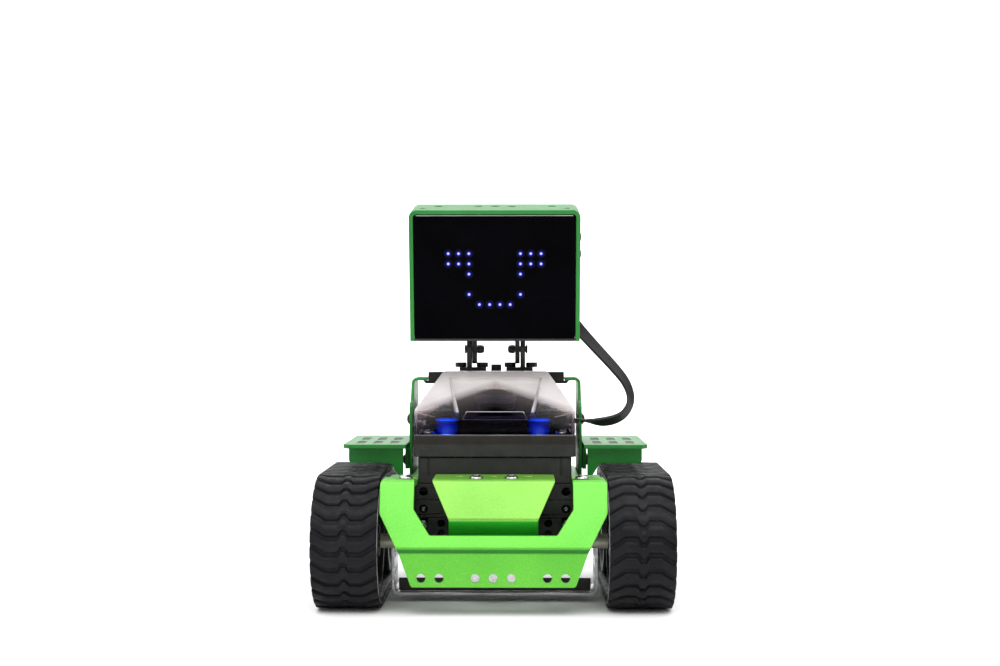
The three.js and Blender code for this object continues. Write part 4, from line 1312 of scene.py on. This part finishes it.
def small_parts():
    chips = bmesh.new()
    add_chips(chips, DECK, (
        (-6, 41, 5, 4, 1.4), (6, 37.5, 4, 2, 1.4), (14.5, 42, 6, 6, 2.6), (-15, 42, 5, 5, 3),
        (-30, -10, 4, 3, 1.1), (30, -12.5, 4, 3, 1.1), (0, -4, 3, 2, 1), (-5, -3, 2.4, 3, 1), (5.5, -3.4, 3, 2, 1.4)))
    add_chips(chips, MODULE_TOP, (
        (0, 20, 11, 11, 1.4), (-14, 24, 6, 4, 1.2), (14, 26, 5, 7, 1.6), (-20, 14, 4, 6, 2.4),
        (20, 13, 6, 4, 1), (0, 31.5, 16, 2.6, 2.4), (-24, 30, 3, 5, 1.2), (24, 30, 4, 4, 1.2)))
    solid_piece("board_chips", chips, "chassis", CASE_PLASTIC, edge=0.15)
    caps = bmesh.new()
    for x, y, r, h in ((-11, 10, 2.2, 5), (11.5, 10.5, 2.2, 5), (-26, 10, 1.8, 3.4), (25, 10, 1.8, 3.4)):
        top = MODULE_TOP + h
        tube = [(0, MODULE_TOP), (r, MODULE_TOP), (r, 88.8), (r * 0.93, 89), (r, 89.2), (r, top - 0.3),
                (r - 0.3, top), (0, top)]
        add_turned(caps, "z", (x, y), tube, 24)
    solid_piece("board_capacitors", caps, "chassis", SILVER, edge=0)
    spacers = bmesh.new()
    for x in (-27, 27):
        for y in (9, 33):
            add_prism(spacers, "z", circle((x * 0.62, y), 2, 6), DECK, 86.6)
    solid_piece("board_spacers", spacers, "chassis", STEEL, edge=0.15)


def ribbon_port():
    low, high = span("cable_port")
    obj = mesh_object("ribbon_port", blocks(((27.6, 33.5), (low.y, high.y), (82.2, 87))))
    combine(obj, blocks(((29.5, 36), (-5.8, -0.2), (82.6, 85.4))), "DIFFERENCE")
    finish_piece(obj, "chassis", BLACK_PLASTIC, ["cable_port"], edge=0.3)


def case_floor():
    """The dark deck under the board, which closes the tray."""
    edge = oblong(-35.4, -18.6, 35.4, 52.6, 2)
    holes = [("z", corner, 3.3, 70, 80) for corner in COVER_CORNERS]
    solid_piece("case_floor", prism("z", edge, 76.2, 77.2), "chassis", BLACK_PLASTIC,
                holes=holes, edge=0.2)


controller_case()
case_floor()
switches()
controller_cover()
main_board()
pin_header()
for name, side in LEFT_RIGHT:
    status_lamp(name, side)
relays_and_ports()
small_parts()
ribbon_port()
button_screws("cover_screws", "chassis", STEEL,
              [("z", corner, 79.0, 1) for corner in COVER_CORNERS], 3.2, 1.3)
posts = bmesh.new()
for corner in COVER_CORNERS:
    add_turned(posts, "z", corner, [(0, 69.8), (3, 69.8), (3, 79.1), (0, 79.1)], 24)
solid_piece("corner_posts", posts, "chassis", BLACK_PLASTIC, edge=0.2)

# ---- neck ----


def neck_rail():
    low, high = span("neck_cross_beam")
    section = oblong(low.y, low.z, high.y, high.z, 0.7, 3)
    obj = mesh_object("neck_rail", prism("x", section, -36, 36))
    ends = bmesh.new()
    for side in (-1, 1):
        add_block(ends, sorted((side * 33.6, side * 37)), (low.y - 1, high.y + 1), (102.2, 108))
        corner = [(side * 37, 99), (side * 33, 99), (side * 36.4, 102.6), (side * 37, 102.6)]
        add_prism(ends, "y", corner, low.y - 1, high.y + 1)
    combine(obj, ends, "DIFFERENCE")
    holes = [("z", (x, 25), 1.8, 100, 108) for x in (-16, -8, 0, 8, 16)]
    combine(obj, drills(holes), "DIFFERENCE")
    finish_piece(obj, "chassis", BLACK_METAL, ["neck_cross_beam"], edge=0.25)
    nuts = bmesh.new()
    add_prism(nuts, "z", circle((0, 25), 2.6, 6), high.z + 0.02, high.z + 3.7)
    for side in (-1, 1):
        for x in (6.9, 17.6):
            add_prism(nuts, "z", circle((side * x, 25), 2.9, 6), 109.02, 111.4)
    solid_piece("neck_nuts", nuts, "chassis", BLACK_METAL, edge=0.3)


def neck_bracket(name, side):
    base = span(f"{name}_neck_bracket")[0].z
    corners = [(side * 5, 20.5, 1.5), (side * 18.2, 20.5, 1.5), (side * 18.2, 29.5, 1.5),
               (side * 5, 29.5, 1.5)]
    obj = mesh_object(f"{name}_neck_fork", prism("z", rounded(corners), base, base + 2))
    post = rounded([
        (18, base), (29.5, base), (28, 119, 1), (26.8, 124, 4.2), (17.2, 124, 4.2), (16.6, 119, 1),
        (18, base + 4),
    ])
    combine(obj, prism("x", post, side * 12, side * 14.4), "UNION")
    hole = ("x", (HINGE.y, HINGE.z), 1.95, *sorted((side * 11, side * 15)))
    combine(obj, drills([hole]), "DIFFERENCE")
    finish_piece(obj, "chassis", BLACK_METAL, [f"{name}_neck_bracket"], edge=0.25)
    pin = bmesh.new()
    bar = [
        (0, 5.8), (1.0, 5.8), (1.5, 6.4), (1.5, 14.7), (2.2, 14.7), (2.2, 15.2), (1.8, 15.6),
        (1.1, 15.6), (0.9, 15.1), (0, 15.1),
    ]
    add_turned(pin, "x", (HINGE.y, HINGE.z), [(r, side * x) for r, x in bar], 28)
    solid_piece(f"{name}_hinge_bolt", pin, "chassis", BLACK_METAL,
                 [f"{name}_hinge_screw"], edge=0)
    knob = [(1.6, 9.2), (2.1, 9.2), (2.1, 7.4), (1.9, 6.6), (1.6, 6.0)]
    solid_piece(f"{name}_hinge_knob", turned("x", (HINGE.y, HINGE.z), knob, 12, side=side), "chassis",
                BLACK_METAL, edge=0.1)


neck_rail()
for name, side in LEFT_RIGHT:
    neck_bracket(name, side)

# ---- head ----
HEAD_INNER = 37.7
FACE_FRONT = -13.2
DOT_PITCH = 4.82
DOT_MIDDLE = -1.4
LIT_DOTS = (
    [(row, column) for row in (1, 2) for column in (3, 4, 5, 10, 11, 12)]
    + [(row, column) for row in (3, 5) for column in (5, 10)]
    + [(6, column) for column in (6, 7, 8, 9)]
)


def dot_place(row, column):
    return (column - 7.5) * DOT_PITCH, DOT_MIDDLE + (3.5 - row) * DOT_PITCH


def head_shell():
    roof = 28.7
    outline = rounded([(-HEAD_INNER, -31, 1.2), (HEAD_INNER, -31, 1.2), (HEAD_INNER, roof),
                       (-HEAD_INNER, roof)])
    obj = mesh_object("head_shell", prism("y", outline, -10.6, 13.2))
    combine(obj, blocks(((-35.9, 35.9), (-12, 11.2), (-29.2, 26.9))), "DIFFERENCE")
    slots = bmesh.new()
    for n in range(7):
        add_prism(slots, "y", oblong(-30 + n * 3.2, 6, -28.6 + n * 3.2, 20, 0.6), 10, 15)
    combine(obj, slots, "DIFFERENCE")
    steps = range(-2, 3)
    grille = [("y", (22 + 3 * i, 12 + 3 * j), 0.9, 10, 15) for i in steps for j in steps if i * i + j * j < 6]
    combine(obj, drills(grille), "DIFFERENCE")
    finish_piece(obj, "head", CASE_PLASTIC, ["head_rear_housing"], edge=0.4, place=HEAD_PLACE)
    sill = prism("y", rounded([(-38.4, -31, 0.5), (38.4, -31, 0.5), (38.4, -29.9, 0.4),
                               (-38.4, -29.9, 0.4)], 3), -13.3, -10.7)
    solid_piece("head_sill", sill, "head", CASE_PLASTIC, edge=0.2, place=HEAD_PLACE)
    panel = prism("y", oblong(-HEAD_INNER, -29.8, HEAD_INNER, roof, 0.8), FACE_FRONT, -10.9)
    # painted highlight: a thin silver strip stands in for the light along the face panel's top edge
    gleam = prism("y", oblong(-36.6, 28.28, 36.6, 28.56, 0.1),
                  FACE_FRONT - 0.04, FACE_FRONT + 0.4)
    solid_piece("face_top_highlight", gleam, "head", SILVER, edge=0, place=HEAD_PLACE)
    solid_piece("face_glass", panel, "head", PANEL, ["head_face_panel"], edge=0.3, place=HEAD_PLACE)
    repaint("led_matrix_board", BOARD)
    button_screws("head_back_screws", "head", BLACK_METAL,
                  [("y", (x, z), 13.15, 1) for x in (-33, 33) for z in (-26, 24)], 2.2, 1.2, place=HEAD_PLACE)
    button_screws("head_side_screws", "head", BLACK_METAL,
                  [("x", (0, z), side * 39.7, side) for z in (8.8, 16.8) for _, side in LEFT_RIGHT], 2.6,
                  1.2, place=HEAD_PLACE)


DOT_RINGS = ((0.0, 1.0), (0.42, 1.0), (0.68, 0.80), (1.0, 0.55), (1.5, 0.28), (2.1, 0.0))


def lit_dots():
    bm = bmesh.new()
    glow = []
    for row, column in LIT_DOTS:
        x, z = dot_place(row, column)
        rings = []
        for n, (radius, share) in enumerate(DOT_RINGS):
            y = FACE_FRONT - 0.10 + 0.015 * n
            count = 1 if radius == 0 else 24
            turns = [math.tau * k / 24 for k in range(count)]
            rings.append([bm.verts.new((x + radius * math.cos(t), y,
                                        z + radius * math.sin(t))) for t in turns])
            glow += [share] * count
        for k in range(24):
            bm.faces.new((rings[0][0], rings[1][k], rings[1][(k + 1) % 24]))
        for a, b in zip(rings[1:], rings[2:]):
            bridge(bm, b, a)
    obj = mesh_object("lit_dots", bm)
    share = obj.data.attributes.new("glow", "FLOAT", "POINT")
    share.data.foreach_set("value", glow)
    finish_piece(obj, "head", DOT, edge=0, place=HEAD_PLACE)


def head_arms():
    place = HEAD_PLACE.inverted() @ HINGE
    y, z = place.y, place.z
    back = 13.8
    for name, side in LEFT_RIGHT:
        outline = rounded([
            (back, -31.5), (y - 4.4, z - 1.6, 2), (y - 4.4, z - 6.9, 3), (y + 4.4, z - 6.9, 3),
            (y + 4.4, z + 8, 3),
            (back + 2, -27), (back, -27),
        ])
        obj = mesh_object(f"{name}_head_lug", prism("x", outline, side * 9.4, side * 11.7))
        combine(obj, blocks((sorted((side * 3, side * 11.7)), (back, back + 2), (-27, -8))), "UNION")
        hole = ("x", (y, z), 1.95, *sorted((side * 9, side * 12)))
        combine(obj, drills([hole]), "DIFFERENCE")
        finish_piece(obj, "head", BLACK_METAL, [f"{name}_head_arm"], edge=0.25, place=HEAD_PLACE)
    button_screws("head_arm_screws", "head", STEEL,
                  [("y", (side * 6.2, z), back + 2, 1) for z in (-23, -12) for _, side in LEFT_RIGHT], 2.2,
                  1.3, place=HEAD_PLACE)


def head_socket():
    bm = bmesh.new()
    add_block(bm, (15, 26), (13.8, 22.5), (-29, -18))
    obj = mesh_object("ribbon_socket", bm)
    combine(obj, blocks(((18, 28), (15.5, 21.1), (-26.6, -20.4))), "DIFFERENCE")
    finish_piece(obj, "head", CASE_PLASTIC, ["head_cable_socket"], edge=0.4, place=HEAD_PLACE)
    for name in ("head_cable_plug", "controller_cable_plug"):
        repaint(name, SHEATH)


head_shell()
lit_dots()
head_arms()
head_socket()

# ---- stage ----


def matt_white(name, tone):
    look = Look(name, (tone, tone, tone), 0.9)
    look.color_from(look.noise(3, 3), [(0.3, (tone * 0.985,) * 3), (0.7, (tone, tone, tone))])
    return look.material


def stage():
    bm = bmesh.new()
    far, near, side, wall = 3.2, -1.5, 2.0, 5.0
    bend = 0.8
    rows = [(near, 0.0)]
    for n in range(9):
        angle = math.pi / 2 * n / 8
        rows.append((far - bend + bend * math.sin(angle), bend - bend * math.cos(angle)))
    rows.append((far, wall))
    lines = [[bm.verts.new((x, y, z)) for x in (-side, side)] for y, z in rows]
    for a, b in zip(lines, lines[1:]):
        bm.faces.new((a[0], a[1], b[1], b[0]))
    mesh = bpy.data.meshes.new("sweep")
    bm.to_mesh(mesh)
    bm.free()
    mesh.shade_smooth()
    sweep = bpy.data.objects.new("sweep", mesh)
    bpy.context.scene.collection.objects.link(sweep)
    mesh.materials.append(matt_white("paper_white", 0.93))


def area_light(name, place, aim, size, power, color=(1, 1, 1)):
    data = bpy.data.lights.new(name, "AREA")
    data.shape = "RECTANGLE"
    data.size, data.size_y = size
    data.energy = power
    data.color = color
    lamp = bpy.data.objects.new(name, data)
    lamp.location = place
    lamp.rotation_euler = (Vector(aim) - Vector(place)).to_track_quat("-Z", "Y").to_euler()
    bpy.context.scene.collection.objects.link(lamp)


WORLD_LIGHT = 0.30


def studio_world():
    """White behind everything for the camera, and a much dimmer grey as a light source."""
    world = bpy.data.worlds.new("studio")
    world.use_nodes = True
    tree = world.node_tree
    ground = tree.nodes["Background"]
    path = tree.nodes.new("ShaderNodeLightPath")
    level = tree.nodes.new("ShaderNodeMapRange")
    level.inputs["To Min"].default_value = WORLD_LIGHT
    level.inputs["To Max"].default_value = 1.05
    tree.links.new(path.outputs["Is Camera Ray"], level.inputs["Value"])
    tree.links.new(level.outputs["Result"], ground.inputs["Strength"])
    ground.inputs["Color"].default_value = (1, 1, 1, 1)
    bpy.context.scene.world = world


def lighting():
    studio_world()
    area_light("ceiling", (0, 0.4, 2.4), (0, 0.4, 0), (5.0, 5.0), 120)
    area_light("top_softbox", (0, -0.75, 0.95), (0, 0, 0.06), (0.9, 0.6), 8)
    area_light("left_softbox", (-1.0, -0.5, 0.55), (0, 0, 0.09), (0.5, 0.8), 3)
    area_light("right_softbox", (1.0, -0.45, 0.6), (0, 0, 0.09), (0.5, 0.8), 3)
    area_light("back_wash", (0, 1.2, 1.8), (0, 3.0, 0.4), (3.0, 1.0), 60)


stage()
lighting()
bpy.context.scene.view_settings.view_transform = "Standard"
